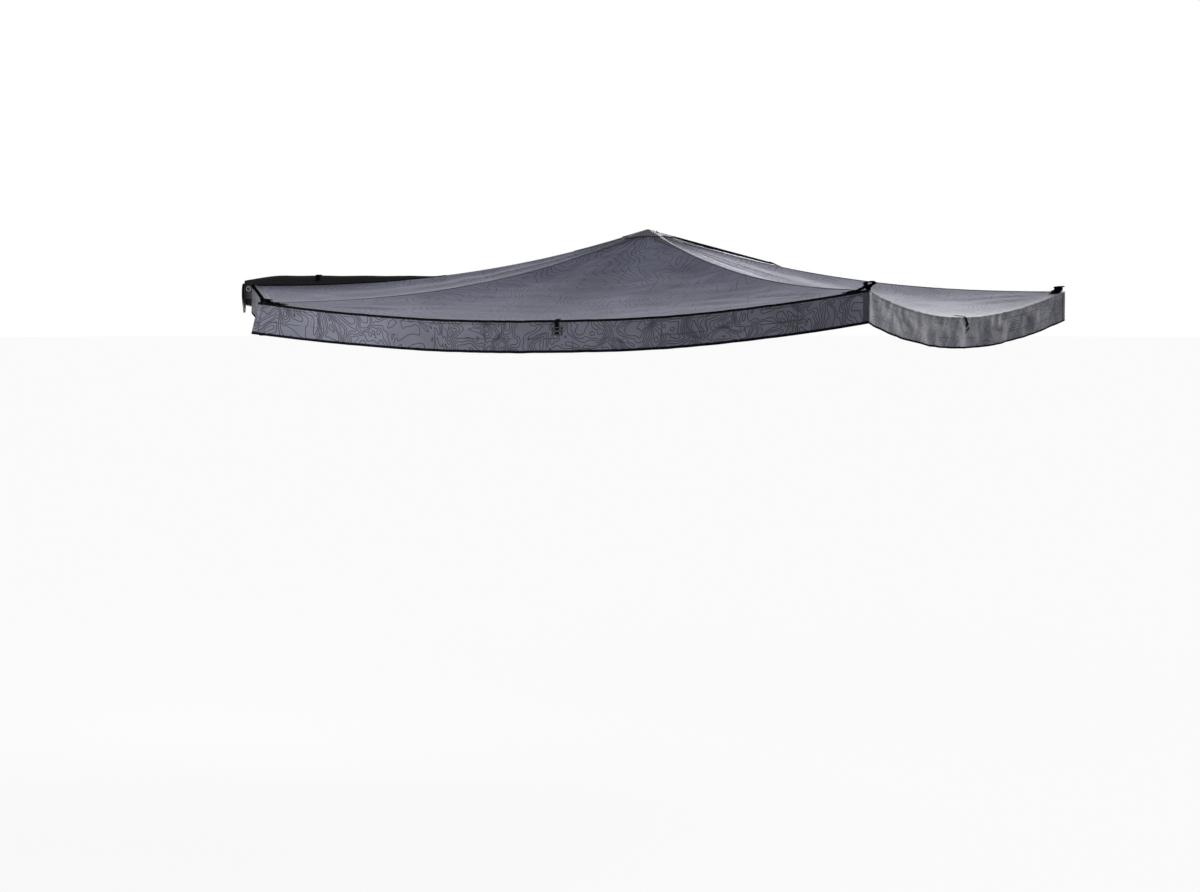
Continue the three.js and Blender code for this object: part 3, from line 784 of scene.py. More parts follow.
TIP_BEYOND_PIN = 45 * MM  # from a leg's hinge pin to the canopy's corner
SEAT_SET_BACK = 22 * MM  # from the canopy's corner to the rib that it rests on
RIDGE_OVER_TIP = 2.2 * MM  # from a tip's rib to the top of the canopy
APEX_OVER_CAP = 1.8 * MM
CASE_EDGE_INSET = 40 * MM  # of the canopy's case edge from the spine's front end
CASE_EDGE_RISE = 72 * MM  # over the spine's underside
CASE_EDGE_GAP = 0.6 * MM


def read_arms() -> tuple[Vector, list[Arm]]:
    """Reads the hub's axis and the arms from the frame's joints.

    Returns:
        The hub's place in plan, and the arms in order.
    """
    joints = {joint["name"]: joint for joint in frame["joints"]}
    hub = Vector((*joints["arm_1_swing"]["pos_m"][:2], 0))
    arms = []
    number = 1
    while f"leg_{number}_fold" in joints:
        fold = joints[f"leg_{number}_fold"]
        pin = Vector((*fold["pos_m"][:2], 0)) - hub
        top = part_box(f"arm_tip_{number}")[1].z
        angle = math.atan2(fold["axis"][0], -fold["axis"][1]) % (2 * math.pi)
        arms.append(Arm(number, angle, pin.length + TIP_BEYOND_PIN, top + RIDGE_OVER_TIP))
        number += 1
    return hub, arms


@dataclass
class CanopyShape:
    """The canopy's surface: ridges that rise to a peak over the hub, with cloth that sags between."""

    hub: Vector
    arms: list[Arm]
    peak_power: float = 2.4
    free_edge_power: float = 1.0  # the last arm's edge is pulled straight
    sag_power: float = 1.5
    edge_draw: float = 45 * MM
    edge_sags: tuple[float, ...] = (45 * MM, 112 * MM, 125 * MM, 115 * MM)
    fold_depth: float = 7 * MM
    folds_per_panel: int = 3
    opening: float = 36 * MM
    pucker: float = 2.2 * MM
    fan: float = 5 * MM
    gather: float = 3.5 * MM
    gather_reach: float = 0.4  # from the hub, over which the gathers die out
    gather_bends: int = 18  # half waves across a panel
    fan_reach: float = 0.5  # from a corner, over which the fans die out
    fan_start: float = 0.08
    fan_folds: int = 15
    edge_band: float = 0.045  # share of the way out over which the puckers die out
    puckers: float = 13.0  # a metre
    swell: float = 7 * MM
    swells: float = 1.9  # a metre
    streak: float = 3.2 * MM
    streaks: Range = (1.3, 7.5)  # a metre, across and out

    def __post_init__(self) -> None:
        """Works out the peak and the five corners."""
        spine_low, spine_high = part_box("spine")
        self.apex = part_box("mast_cap")[1].z + APEX_OVER_CAP
        case = Vector((spine_high.x - CASE_EDGE_INSET, spine_high.y + CASE_EDGE_GAP, 0)) - self.hub
        case.z = spine_low.z + CASE_EDGE_RISE
        self.reach = self.arms[0].reach
        self.powers = [self.peak_power] * len(self.arms) + [self.free_edge_power]
        tips = [
            arm.direction * arm.reach + UP * self.tip_height(arm.seat, power)
            for arm, power in zip(self.arms, self.powers[1:])
        ]
        self.corners = [case, *tips]

    def tip_height(self, seat: float, power: float) -> float:
        """Gives the height of a ridge's end, from its height over the rib that it rests on.

        Args:
            seat: its height over the rib.
            power: how the ridge rises to the peak.

        Returns:
            The height at the corner.
        """
        rise = (SEAT_SET_BACK / self.reach) ** power
        return (seat - self.apex * rise) / (1 - rise)

    def chord(self, panel: int) -> Vector:
        """Gives the line in plan from a panel's first corner to its second."""
        line = self.corners[panel + 1] - self.corners[panel]
        return Vector((line.x, line.y, 0))

    def outward(self, panel: int, t: float) -> Vector:
        """Gives the direction in plan that a panel's outer edge faces.

        Args:
            panel: from 0, beside the case.
            t: share of the way across the panel.

        Returns:
            A unit vector.
        """
        chord = self.chord(panel)
        slope = 4 * self.edge_draw * (1 - 2 * t) / chord.length
        chord.normalize()
        return (Vector((chord.y, -chord.x, 0)) + chord * slope).normalized()

    def smooth_point(self, panel: int, s: float, t: float) -> Vector:
        """Gives a point of the canopy's top without its wrinkles.

        Args:
            panel: from 0, beside the case.
            s: share of the way out from the hub.
            t: share of the way across the panel.

        Returns:
            The point.
        """
        start, end = self.corners[panel], self.corners[panel + 1]
        arch = 4 * t * (1 - t)
        along = self.chord(panel).normalized()
        edge = start.lerp(end, t) + Vector((-along.y, along.x, 0)) * self.edge_draw * arch
        power = self.powers[panel] + (self.powers[panel + 1] - self.powers[panel]) * t**2
        rise = (self.apex - edge.z) * (1 - s) ** power
        sag = self.edge_sags[panel] * arch * s**self.sag_power
        fold = self.fold_depth * math.sin(math.pi * self.folds_per_panel * t) ** 2 * math.sin(math.pi * s)
        return Vector((self.hub.x + edge.x * s, self.hub.y + edge.y * s, edge.z + rise - sag - fold))

    def wrinkle(self, panel: int, s: float, t: float, at: Vector) -> float:
        """Gives the height of the wrinkles at a point: none on the ridges.

        Args:
            panel: from 0, beside the case.
            s: share of the way out from the hub.
            t: share of the way across the panel.
            at: the point.

        Returns:
            The height, in metres.
        """
        hold = math.sin(math.pi * t)
        width = self.chord(panel).length
        height = self.gather * math.exp(-s * self.reach / self.gather_reach)
        height *= math.sin(self.gather_bends * math.pi * t + panel) * hold
        for side in (0, 1):
            away = Vector((abs(t - side) * width * max(s, 0.05), (1 - s) * self.reach))
            turn = math.atan2(away.y, away.x)
            reach = away.length
            height += (
                self.fan * math.exp(-reach / self.fan_reach) * (reach / (reach + self.fan_start))
                * math.sin(self.fan_folds * turn + 2 * side + panel) * math.sin(2 * turn) ** 2
            )
        edge = math.exp(-(1 - s) / self.edge_band)
        count = self.puckers * width
        height += self.pucker * edge * hold * noise.noise(Vector((t * count, s * 4, panel * 7.1)))
        swell = noise.noise(Vector((at.x * self.swells, at.y * self.swells, 3.3 + panel)))
        height += self.swell * hold * swell
        stretched = Vector((t * width * self.streaks[0], s * self.reach * self.streaks[1], panel * 5.7))
        lines = noise.noise(stretched) + 0.5 * noise.noise(stretched * 2.3)
        return height + self.streak * lines * min(1.0, 2.5 * hold) * min(1.0, 4 * s) * (1 - 0.8 * edge)

    def point(self, panel: int, s: float, t: float) -> Vector:
        """Gives a point of the canopy's top with its wrinkles.

        Args:
            panel: from 0, beside the case.
            s: share of the way out from the hub.
            t: share of the way across the panel.

        Returns:
            The point.
        """
        at = self.smooth_point(panel, s, t)
        at.z += self.wrinkle(panel, s, t, at)
        return at

    def across(self, arm: int, share: float, distance: float) -> tuple[int, float]:
        """Finds the panel and the share across it, at a distance to either side of an arm's ridge.

        Args:
            arm: the ridge, from 0, at the first arm.
            share: share of the way out from the hub.
            distance: in metres; a negative one is towards the case.

        Returns:
            The panel, and the share of the way across it.
        """
        panel = arm if distance <= 0 else arm + 1
        away = abs(distance) / (self.chord(panel).length * share)
        return panel, (1 - away if distance <= 0 else away)

    def flat(self, at: Vector) -> Vector:
        """Gives the place of a point of the canopy on the flat cloth: its place in plan."""
        return Vector((at.x - self.hub.x, at.y - self.hub.y, 0))

    def angle_share(self, panel: int, at: Vector) -> float:
        """Gives how far round the hub a point lies, as a share of its panel's angle.

        Args:
            panel: from 0, beside the case.
            at: the point.

        Returns:
            0 on the panel's first ridge and 1 on its second.
        """
        start, end = (math.atan2(corner.y, corner.x) for corner in self.corners[panel : panel + 2])
        span = (end - start) % (2 * math.pi)
        turn = (math.atan2(at.y - self.hub.y, at.x - self.hub.x) - start + math.pi / 2) % (2 * math.pi)
        return min(1.0, max(0.0, (turn - math.pi / 2) / span))

    def body_before(self, panel: int) -> str:
        """Names the body that carries the ridge before a panel."""
        return self.arms[panel - 1].body if panel else "root"

    def fold_with_arms(self, piece: Piece, panel: int, as_one: bool = False) -> None:
        """Lays a piece's points out by their angle round a panel, bakes its placement, and puts the points
        back.

        Each point is laid out at the inverse of an ease in and out of its share of the panel's angle, and
        then put back as it was. No blend is set and the piece is not attached to the ridges' bodies, so it
        does not turn with the arms.

        Args:
            piece: a finished mesh in place.
            panel: the panel that it belongs to.
            as_one: whether every point takes the share of the panel's middle line.
        """
        middle = self.hub + (self.corners[panel] + self.corners[panel + 1]) / 2
        places = [vert.co.copy() for vert in piece.data.vertices]
        for vert, at in zip(piece.data.vertices, places):
            share = self.angle_share(panel, middle if as_one else at)
            vert.co = (0.5 - math.sin(math.asin(1 - 2 * share) / 3), 0, 0)
        self.arms[panel].body
        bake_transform(piece)
        for vert, at in zip(piece.data.vertices, places):
            vert.co = at


@dataclass
class Canopy:
    """The canopy's panels, the seams over its ridges and the patch round its peak."""

    shape: CanopyShape
    finishes: Finishes
    columns: int = 104
    rows: int = 84
    row_power: float = 1.35
    cloth: float = 1.2 * MM
    seam: float = 1.0 * MM
    seam_width: float = 24 * MM
    seam_lift: float = 1.0 * MM
    patch: float = 1.4 * MM
    patch_radius: float = 0.135
    patch_scallop: float = 0.22  # share of its radius that is cut away between the ridges
    patch_lift: float = 1.6 * MM
    patch_opening: float = 4 * MM
    binding: float = 0.9 * MM
    binding_width: float = 17 * MM
    binding_lift: float = 1.4 * MM
    free_edge_width: float = 60 * MM
    free_edge_fold: float = 0.15  # share of the binding that turns round the edge
    free_edge_end: float = 0.984  # share of the way out
    case_edge_start: float = 0.5
    tongue_start: float = 0.11
    tongue_end: float = 0.38
    tongue_widths: tuple[float, float] = (58 * MM, 12 * MM)  # to either side of the ridge
    tongue_lift: float = 1.3 * MM
    # the hem is a doubled hem laid in darker cloth as painted shade along the canopy's rolled outer edge
    hem: float = 0.8 * MM
    painted_shade_hem_width: float = 42 * MM

    def share_out(self, v: float) -> float:
        """Gives the share of the way out from the hub at a share of a panel's rows."""
        opening = self.shape.opening / self.shape.reach
        return opening + (1 - opening) * v**self.row_power

    def build_panel(self, panel: int) -> None:
        """Makes one panel.

        Args:
            panel: from 0, beside the case.
        """
        def place(u: float, v: float) -> Vector:
            """Gives a point of the piece."""
            return self.shape.point(panel, self.share_out(v), u) - UP * self.cloth / 2

        def flat(u: float, v: float) -> Vector:
            """Gives the place of a point on the flat cloth."""
            return self.shape.flat(self.shape.smooth_point(panel, self.share_out(v), u))

        piece = lay_cloth(
            f"canopy_panel_{panel + 1}", (self.columns, self.rows), place, flat, self.finishes.canopy,
            Slot.CANOPY, self.cloth,
        )
        self.shape.fold_with_arms(piece, panel)
        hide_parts(f"canopy_{panel + 1}")
        width = self.shape.chord(panel).length

    def build_seam(self, arm: int) -> None:
        """Makes the lapped seam over an arm's ridge, where two panels meet.

        Args:
            arm: from 0, at the first arm.
        """
        start = self.patch_radius / self.shape.reach

        def place(u: float, v: float) -> Vector:
            """Gives a point of the piece."""
            share = start + (1 - start) * v
            side = 2 * u - 1
            panel, t = self.shape.across(arm, share, side * self.seam_width / 2)
            lift = self.seam_lift * (1 - 0.4 * side**4)
            return self.shape.point(panel, share, t) + UP * lift

        piece = lay_cloth(
            f"ridge_seam_{arm + 1}", (6, 150), place, strip_map(self.seam_width, self.shape.reach),
            self.finishes.seam, Slot.CANOPY, self.seam,
        )
        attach(piece, self.shape.arms[arm].body)

    def build_free_edge(self) -> None:
        """Makes the wide black binding over the last arm, round the canopy's free edge."""
        arm = len(self.shape.arms) - 1
        start = self.shape.opening / self.shape.reach
        beyond = Vector((-math.sin(self.shape.arms[arm].angle), math.cos(self.shape.arms[arm].angle), 0))
        fold = self.free_edge_fold

        def place(u: float, v: float) -> Vector:
            """Gives a point of the piece."""
            share = start + (self.free_edge_end - start) * v
            turn = (u - 0.5) * 2
            inner = max(0.0, abs(turn) - fold) / (1 - fold) * self.free_edge_width
            panel, t = self.shape.across(arm, share, -inner)
            at = self.shape.point(panel, share, t)
            half = self.cloth / 2 + self.binding_lift
            angle = max(-1.0, min(1.0, turn / fold)) * math.pi / 2
            return at - UP * self.cloth / 2 + beyond * half * math.cos(angle) + UP * half * math.sin(angle)

        piece = lay_cloth(
            "free_edge_binding", (18, 150), place, strip_map(1, self.shape.reach), self.finishes.binding,
            Slot.WEBBING, self.binding,
        )
        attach(piece, self.shape.arms[arm].body)

    def build_case_edge(self) -> None:
        """Makes the tape along the canopy's edge at the case."""
        def place(u: float, v: float) -> Vector:
            """Gives a point of the piece."""
            share = self.case_edge_start + (1 - self.case_edge_start) * v
            at = self.shape.point(0, share, u * self.binding_width * 2 / self.shape.chord(0).length)
            return at + UP * self.binding_lift * 0.6

        piece = lay_cloth(
            "case_edge_tape", (4, 90), place, strip_map(1, self.shape.reach), self.finishes.binding,
            Slot.WEBBING, self.binding,
        )
        self.shape.fold_with_arms(piece, 0)

    def build_patch(self, panel: int) -> None:
        """Makes a panel's part of the reinforcement round the peak, with a scalloped hem.

        Args:
            panel: from 0, beside the case.
        """
        def place(u: float, v: float) -> Vector:
            """Gives a point of the piece."""
            reach = self.patch_radius * (1 - self.patch_scallop * 4 * u * (1 - u))
            inner = self.patch_opening / self.shape.reach
            share = inner + (reach / self.shape.reach - inner) * v
            hem = 0.6 * MM * max(0.0, 1 - abs(v - 0.93) / 0.05)
            return self.shape.smooth_point(panel, share, u) + UP * (self.patch_lift + 3 * MM * v + hem)

        def flat(u: float, v: float) -> Vector:
            """Gives the place of a point on the flat cloth."""
            return self.shape.flat(place(u, v))

        piece = lay_cloth(
            f"peak_reinforcement_{panel + 1}", (48, 30), place, flat, self.finishes.patch, Slot.CANOPY,
            self.patch,
        )
        first, last = place(0, 1), place(1, 1)
        length = ((first + last) / 2 - place(0, 0)).length
        self.shape.fold_with_arms(piece, panel)
        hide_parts("peak_patch")

    def build_tongue(self, ridge: int) -> None:
        """Makes the tapering reinforcement that runs down a ridge from the peak.

        Args:
            ridge: from 0, along the case.
        """
        arm = ridge - 1
        first = 0.0 if ridge == 0 else -1.0
        last = 0.0 if ridge == len(self.shape.arms) else 1.0
        narrowest = min(self.shape.chord(panel).length for panel in range(len(self.shape.arms)))

        def place(u: float, v: float) -> Vector:
            """Gives a point of the piece."""
            share = (self.tongue_start + (self.tongue_end - self.tongue_start) * v) / self.shape.reach
            wide, narrow = self.tongue_widths
            half = (wide + (narrow - wide) * v**0.6) * math.sqrt(1 - 0.96 * v**10)
            side = first + (last - first) * u
            room = 0.42 * narrowest * share
            panel, t = self.shape.across(arm, share, side * min(half, room))
            hem = 0.5 * MM * (abs(side) > 0.82)
            return self.shape.point(panel, share, t) + UP * (self.tongue_lift + hem)

        def flat(u: float, v: float) -> Vector:
            """Gives the place of a point on the flat cloth."""
            return self.shape.flat(place(u, v)) + Vector((0.7 * ridge, 1.3, 0))

        name = f"ridge_tongue_{ridge}" if ridge else "case_ridge_tongue"
        piece = lay_cloth(name, (12, 40), place, flat, self.finishes.patch, Slot.CANOPY, self.seam)
        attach(piece, self.shape.body_before(ridge))

    def build_painted_shade_hem(self, panel: int) -> None:
        """Makes the doubled hem along a panel's outer edge, in the darker seam cloth, which paints the shade
        where the canopy rolls over its edge.

        Args:
            panel: from 0, beside the case.
        """
        def place(u: float, v: float) -> Vector:
            """Gives a point of the piece."""
            share = 1 - (0.06 + 0.94 * v) * self.painted_shade_hem_width / self.shape.reach
            return self.shape.point(panel, share, u) + UP * self.seam_lift * (0.9 - 0.3 * v)

        flat = strip_map(self.shape.chord(panel).length, self.painted_shade_hem_width, (0, 0.9 * panel))
        # the darker seam cloth here is painted shade along the rolled edge
        piece = lay_cloth(
            f"canopy_painted_shade_hem_{panel + 1}", (self.columns, 4), place, flat, self.finishes.seam, Slot.CANOPY,
            self.hem,
        )
        self.shape.fold_with_arms(piece, panel)

    def build(self) -> None:
        """Makes every piece of the canopy."""
        for panel in range(len(self.shape.arms)):
            self.build_panel(panel)
        for arm in range(len(self.shape.arms) - 1):
            self.build_seam(arm)
        for panel in range(len(self.shape.arms)):
            self.build_painted_shade_hem(panel)
        self.build_free_edge()
        self.build_case_edge()
        for ridge in range(len(self.shape.arms) + 1):
            self.build_tongue(ridge)
        for panel in range(len(self.shape.arms)):
            self.build_patch(panel)


class TapeEdge(Enum):
    """The edges of a valance that are bound with tape."""

    FOOT = "foot"
    HEAD = "head"


@dataclass
class Valance:
    """The valance that hangs from the canopy's outer edge, with its bindings."""

    shape: CanopyShape
    finishes: Finishes
    drop: float = 145 * MM
    wave: float = 7 * MM
    waves: int = 5
    flare: float = 36 * MM  # of the free foot at the first arm's corner
    columns: int = 150
    rows: int = 16
    cloth: float = 1.2 * MM
    foot_tapes: tuple[float, ...] = (10 * MM, 10 * MM, 6 * MM, 6 * MM)
    head_tape: float = 13 * MM
    head_tape_drop: float = 8 * MM
    # head tapes: black on the first two valances and seam cloth on the others, partly a binding and partly
    # painted shade under the canopy's edge
    black_binding_and_shade_heads: tuple[bool, ...] = (True, True, False, False)
    tape: float = 1.6 * MM
    corner_seam: float = 26 * MM
    crumples: tuple[float, ...] = (1.0, 1.0, 2.6, 1.6)  # how creased each valance hangs
    broad_creases: Range = (9, 1.5)  # a metre along, and over the drop
    broad_depth: float = 3.2 * MM
    fine_creases: Range = (22, 3)
    fine_depth: float = 2.0 * MM
    flare_powers: tuple[int, int] = (9, 16)  # how soon the flare dies out, before the corner and after it

    def hang(self, panel: int, t: float, depth: float) -> Vector:
        """Gives a point of the valance.

        Args:
            panel: from 0, beside the case.
            t: share of the way across the panel.
            depth: below the canopy's edge, in metres.

        Returns:
            The point.
        """
        out = self.shape.outward(panel, t)
        at = self.shape.point(panel, 1, t)
        down = depth / self.drop
        hold = math.sin(math.pi * t)
        swing = self.wave * math.sin(2 * math.pi * self.waves * t) * hold * down
        width = self.shape.chord(panel).length
        along = t * width
        crumple = self.crumples[panel] * min(1, 8 * hold)
        count, rows = self.broad_creases
        broad = self.broad_depth * noise.noise(Vector((along * count, down * rows, panel * 3.7)))
        count, rows = self.fine_creases
        fine = self.fine_depth * noise.noise(Vector((along * count + down * 2, down * rows, 9 + panel)))
        swing += crumple * (broad * min(1, 3 * down) + fine * (1 - 0.6 * down))
        at = at + out * swing - UP * depth
        if panel <= 1:
            near = (1 - t if panel else t) ** self.flare_powers[panel]
            at += self.shape.arms[0].direction * self.flare * down * near
        return at

    def outside(self, panel: int, t: float, depth: float, lift: float) -> Vector:
        """Gives a point at a distance outside the valance."""
        return self.hang(panel, t, depth) + self.shape.outward(panel, t) * lift

    def build_cloth(self, panel: int) -> None:
        """Makes a panel's valance.

        Args:
            panel: from 0, beside the case.
        """
        width = self.shape.chord(panel).length

        def place(u: float, v: float) -> Vector:
            """Gives a point of the piece."""
            return self.outside(panel, u, v * self.drop, AIR_GAP + self.cloth / 2)

        piece = lay_cloth(
            f"valance_{panel + 1}_cloth", (self.columns, self.rows), place,
            strip_map(width, self.drop, (3.1 * panel, 1.7 * panel)), self.finishes.valance, Slot.VALANCE,
            self.cloth,
        )
        self.shape.fold_with_arms(piece, panel)
        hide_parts(f"valance_{panel + 1}")

    def build_tape(self, panel: int, edge: TapeEdge) -> None:
        """Makes the tape folded round the valance's foot, or over the canopy's edge at its head, where its
        dark colour is partly a binding on the seam and partly painted shade under the canopy's edge.

        Args:
            panel: from 0, beside the case.
            edge: the edge that it binds.
        """
        width = self.shape.chord(panel).length
        half = self.cloth / 2 + self.tape / 2
        foot = edge is TapeEdge.FOOT

        def round_foot(u: float, v: float) -> Vector:
            """Gives a point of a tape folded round the foot."""
            rise = (abs(v - 0.5) * 2 - 0.1) / 0.9 * self.foot_tapes[panel]
            depth = self.drop - max(0.0, rise)
            angle = max(-1.0, min(1.0, (v - 0.5) / 0.05)) * math.pi / 2
            at = self.outside(panel, u, depth, AIR_GAP + self.cloth / 2 + half * math.sin(angle))
            return at - UP * half * math.cos(angle)

        def over_head(u: float, v: float) -> Vector:
            """Gives a point of a tape folded over the head."""
            out = AIR_GAP + self.cloth + self.tape / 2
            if v > 0.5:
                return self.outside(panel, u, (v - 0.5) * 2 * self.head_tape_drop, out)
            inward = (0.5 - v) * 2 * self.head_tape
            if v > 0.42:
                corner = (0.5 - v) / 0.08
                return self.outside(panel, u, -corner * self.tape / 2, out * (1 - corner))
            at = self.shape.point(panel, 1 - (inward - 0.16 * self.head_tape) / self.shape.reach, u)
            return at + UP * (self.tape / 2 + AIR_GAP)

        # a head tape's dark colour is partly painted shade under the canopy's edge
        black = foot or self.black_binding_and_shade_heads[panel]
        piece = lay_cloth(
            f"valance_{panel + 1}_{edge.value}_tape", (self.columns, 14), round_foot if foot else over_head,
            strip_map(1, width, sideways=True), self.finishes.binding if black else self.finishes.seam,
            Slot.WEBBING if black else Slot.VALANCE, self.tape * 0.7,
        )
        self.shape.fold_with_arms(piece, panel)

    def build_corner_seam(self, panel: int, at_start: bool) -> None:
        """Makes the doubled strip that ends a valance at a corner.

        Args:
            panel: from 0, beside the case.
            at_start: whether it is the valance's first end.
        """
        width = self.shape.chord(panel).length
        out = AIR_GAP + self.cloth + 0.5 * MM
        end_share = self.corner_seam / width

        def place(u: float, v: float) -> Vector:
            """Gives a point of the piece."""
            t = u * end_share if at_start else 1 - u * end_share
            depth = self.head_tape_drop + v * (self.drop - self.head_tape_drop - self.foot_tapes[panel])
            return self.outside(panel, t, depth, out)

        piece = lay_cloth(
            f"valance_{panel + 1}_{'first' if at_start else 'last'}_seam", (5, 14), place,
            strip_map(self.corner_seam, self.drop, (0.4, 0.3 * panel)),
            self.finishes.valance if at_start else self.finishes.patch, Slot.VALANCE, 0.7 * MM,
        )
        self.shape.fold_with_arms(piece, panel)

    def build(self) -> None:
        """Makes the valance of every panel."""
        for panel in range(len(self.shape.arms)):
            self.build_cloth(panel)
            for edge in TapeEdge:
                self.build_tape(panel, edge)
            for at_start in (True, False):
                self.build_corner_seam(panel, at_start)


@dataclass
class CornerBand:
    """The webbing band that crosses the canopy over an arm's tip and stands up in a folded loop."""

    shape: CanopyShape
    finishes: Finishes
    half_lengths: tuple[float, ...] = (95 * MM, 95 * MM, 60 * MM, 95 * MM)
    width: float = 45 * MM
    set_back: float = 8 * MM
    heights: tuple[float, ...] = (14 * MM, 36 * MM, 24 * MM, 0.0)
    loop_base: float = 38 * MM
    loop_bulge: float = 1.3
    loop_narrowing: float = 0.2
    lean_out: float = 18 * MM
    lean_on: float = 22 * MM
    thickness: float = 1.8 * MM
    lift: float = 2.4 * MM

    def loop(self, along: float, height: float) -> tuple[float, float]:
        """Bends the band's middle into a loop with a narrow neck.

        Args:
            along: place on the band, from its middle.
            height: of the loop.

        Returns:
            The place along the canopy's edge, and the height over it.
        """
        share = min(1.0, abs(along) / self.loop_base)
        if height == 0 or share == 1:
            return along, 0.0
        pinch = share**8 + self.loop_bulge * math.sin(math.pi * share) * (1 - share)
        return math.copysign(self.loop_base * pinch, along), height * (1 - share**2.4)

    def build(self, arm: int) -> None:
        """Makes the band over one arm.

        Args:
            arm: from 0, at the first arm.
        """
        half_length = self.half_lengths[arm]
        aside = half_length if arm == len(self.shape.arms) - 1 else 0.0
        height = self.heights[arm]
        reach = self.shape.reach
        beyond = UP.cross(self.shape.arms[arm].direction)

        def place(u: float, v: float) -> Vector:
            """Gives a point of the piece."""
            along, rise = self.loop((2 * u - 1) * half_length, height)
            up = rise / height if height else 0.0
            back = self.set_back + (1 - v) * self.width * (1 - self.loop_narrowing * up)
            share = 1 - back / reach
            panel, t = self.shape.across(arm, share, along - aside)
            crown = 0.8 * MM * (1 - (2 * v - 1) ** 2)
            at = self.shape.point(panel, share, t) + UP * (self.lift + rise + crown)
            lean = up * height / max(self.heights)
            return at + self.shape.arms[arm].direction * self.lean_out * lean + beyond * self.lean_on * lean

        piece = lay_cloth(
            f"corner_band_{arm + 1}", (96, 8), place, strip_map(1, 2 * half_length, sideways=True),
            self.finishes.webbing, Slot.WEBBING, self.thickness,
        )
        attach(piece, self.shape.arms[arm].body)
        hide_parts(f"corner_tab_{arm + 1}")


@dataclass
class EdgeStrap:
    """A strap and buckle half-way along an outer edge, which hold the rolled valance."""

    shape: CanopyShape
    valance: Valance
    finishes: Finishes
    half_width: float = 9 * MM
    run: float = 60 * MM
    fall: float = 62 * MM
    thickness: float = 1.6 * MM
    buckle_width: float = 48 * MM
    buckle_height: float = 38 * MM
    buckle_depth: float = 7 * MM
    buckle_bar: float = 5 * MM

    def build_strap(self, panel: int, name: str, slant: float) -> Piece:
        """Makes the strap: over the canopy's edge, down the valance and through the buckle.

        Args:
            panel: the panel that it hangs from.
            name: the piece's name.
            slant: how far aside it hangs, per metre of its fall.

        Returns:
            The strap.
        """
        chord = self.shape.chord(panel).length
        total = self.run + self.fall
        lift = self.valance.tape + 2 * MM

        def place(u: float, v: float) -> Vector:
            """Gives a point of the piece."""
            along = v * total - self.run
            t = 0.5 + ((2 * u - 1) * self.half_width + slant * max(0.0, along)) / chord
            if along < 0:
                at = self.shape.point(panel, 1 + along / self.shape.reach, t)
                return at + UP * lift * (1 if along > -self.run * 0.6 else 0.6)
            ripple = 1.2 * MM * math.sin(math.pi * along / self.fall * 2)
            return self.valance.outside(panel, t, along, lift + 1 * MM + ripple)

        piece = lay_cloth(
            name, (6, 40), place, strip_map(1, total), self.finishes.webbing, Slot.WEBBING, self.thickness
        )
        self.shape.fold_with_arms(piece, panel, as_one=True)
        return piece

    def build_buckle(self, panel: int, name: str, slant: float) -> None:
        """Makes the ladder-lock buckle: a rounded frame with two slots.

        Args:
            panel: the panel that it hangs from.
            name: the piece's name.
            slant: how far aside the strap hangs, per metre of its fall.
        """
        mesh = bmesh.new()
        bmesh.ops.create_grid(mesh, x_segments=3, y_segments=5, size=0.5)
        bar = self.buckle_bar
        half_x, half_y = self.buckle_width / 2, self.buckle_height / 2
        columns = (-half_x, -half_x + bar, half_x - bar, half_x)
        rows = (-half_y, -half_y + bar, -bar * 0.9, bar * 0.9, half_y - bar, half_y)
        for vert in mesh.verts:
            column, row = round((vert.co.x + 0.5) * 3), round((vert.co.y + 0.5) * 5)
            vert.co = (columns[column], rows[row], 0)
        middles = [(face, face.calc_center_median()) for face in mesh.faces]
        slots = [face for face, at in middles if abs(at.x) < bar < abs(at.y) < half_y - bar]
        bmesh.ops.delete(mesh, geom=slots, context="FACES")
        bmesh.ops.solidify(mesh, geom=mesh.faces[:], thickness=self.buckle_depth)
        bmesh.ops.recalc_face_normals(mesh, faces=mesh.faces[:])
        round_edges(mesh, 0.5, 1.6 * MM, segments=3)
        depth = self.fall * 0.78
        t = 0.5 + slant * depth / self.shape.chord(panel).length
        out = self.shape.outward(panel, t)
        middle = self.valance.outside(panel, t, depth, self.valance.tape + 4 * MM)
        aside = UP.cross(out)
        turn = Matrix((aside, UP, out)).transposed().to_4x4() @ Matrix.Rotation(math.atan(slant), 4, "Z")
        bmesh.ops.transform(mesh, matrix=Matrix.Translation(middle) @ turn, verts=mesh.verts)
        piece = finish_piece(name, mesh, self.finishes.nylon, Slot.BLACK_PLASTIC)
        self.shape.fold_with_arms(piece, panel, as_one=True)

    def build(self, panel: int, where: str, slant: float) -> None:
        """Makes the strap and its buckle, and lets the strap stand for the frame's node.

        Args:
            panel: the panel that they hang from.
            where: which edge, as the node's name has it.
            slant: how far aside the strap hangs, per metre of its fall.
        """
        strap = self.build_strap(panel, f"edge_strap_{where}_webbing", slant)
        self.build_buckle(panel, f"edge_strap_{where}_buckle", slant)
        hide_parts(f"edge_strap_{where}")


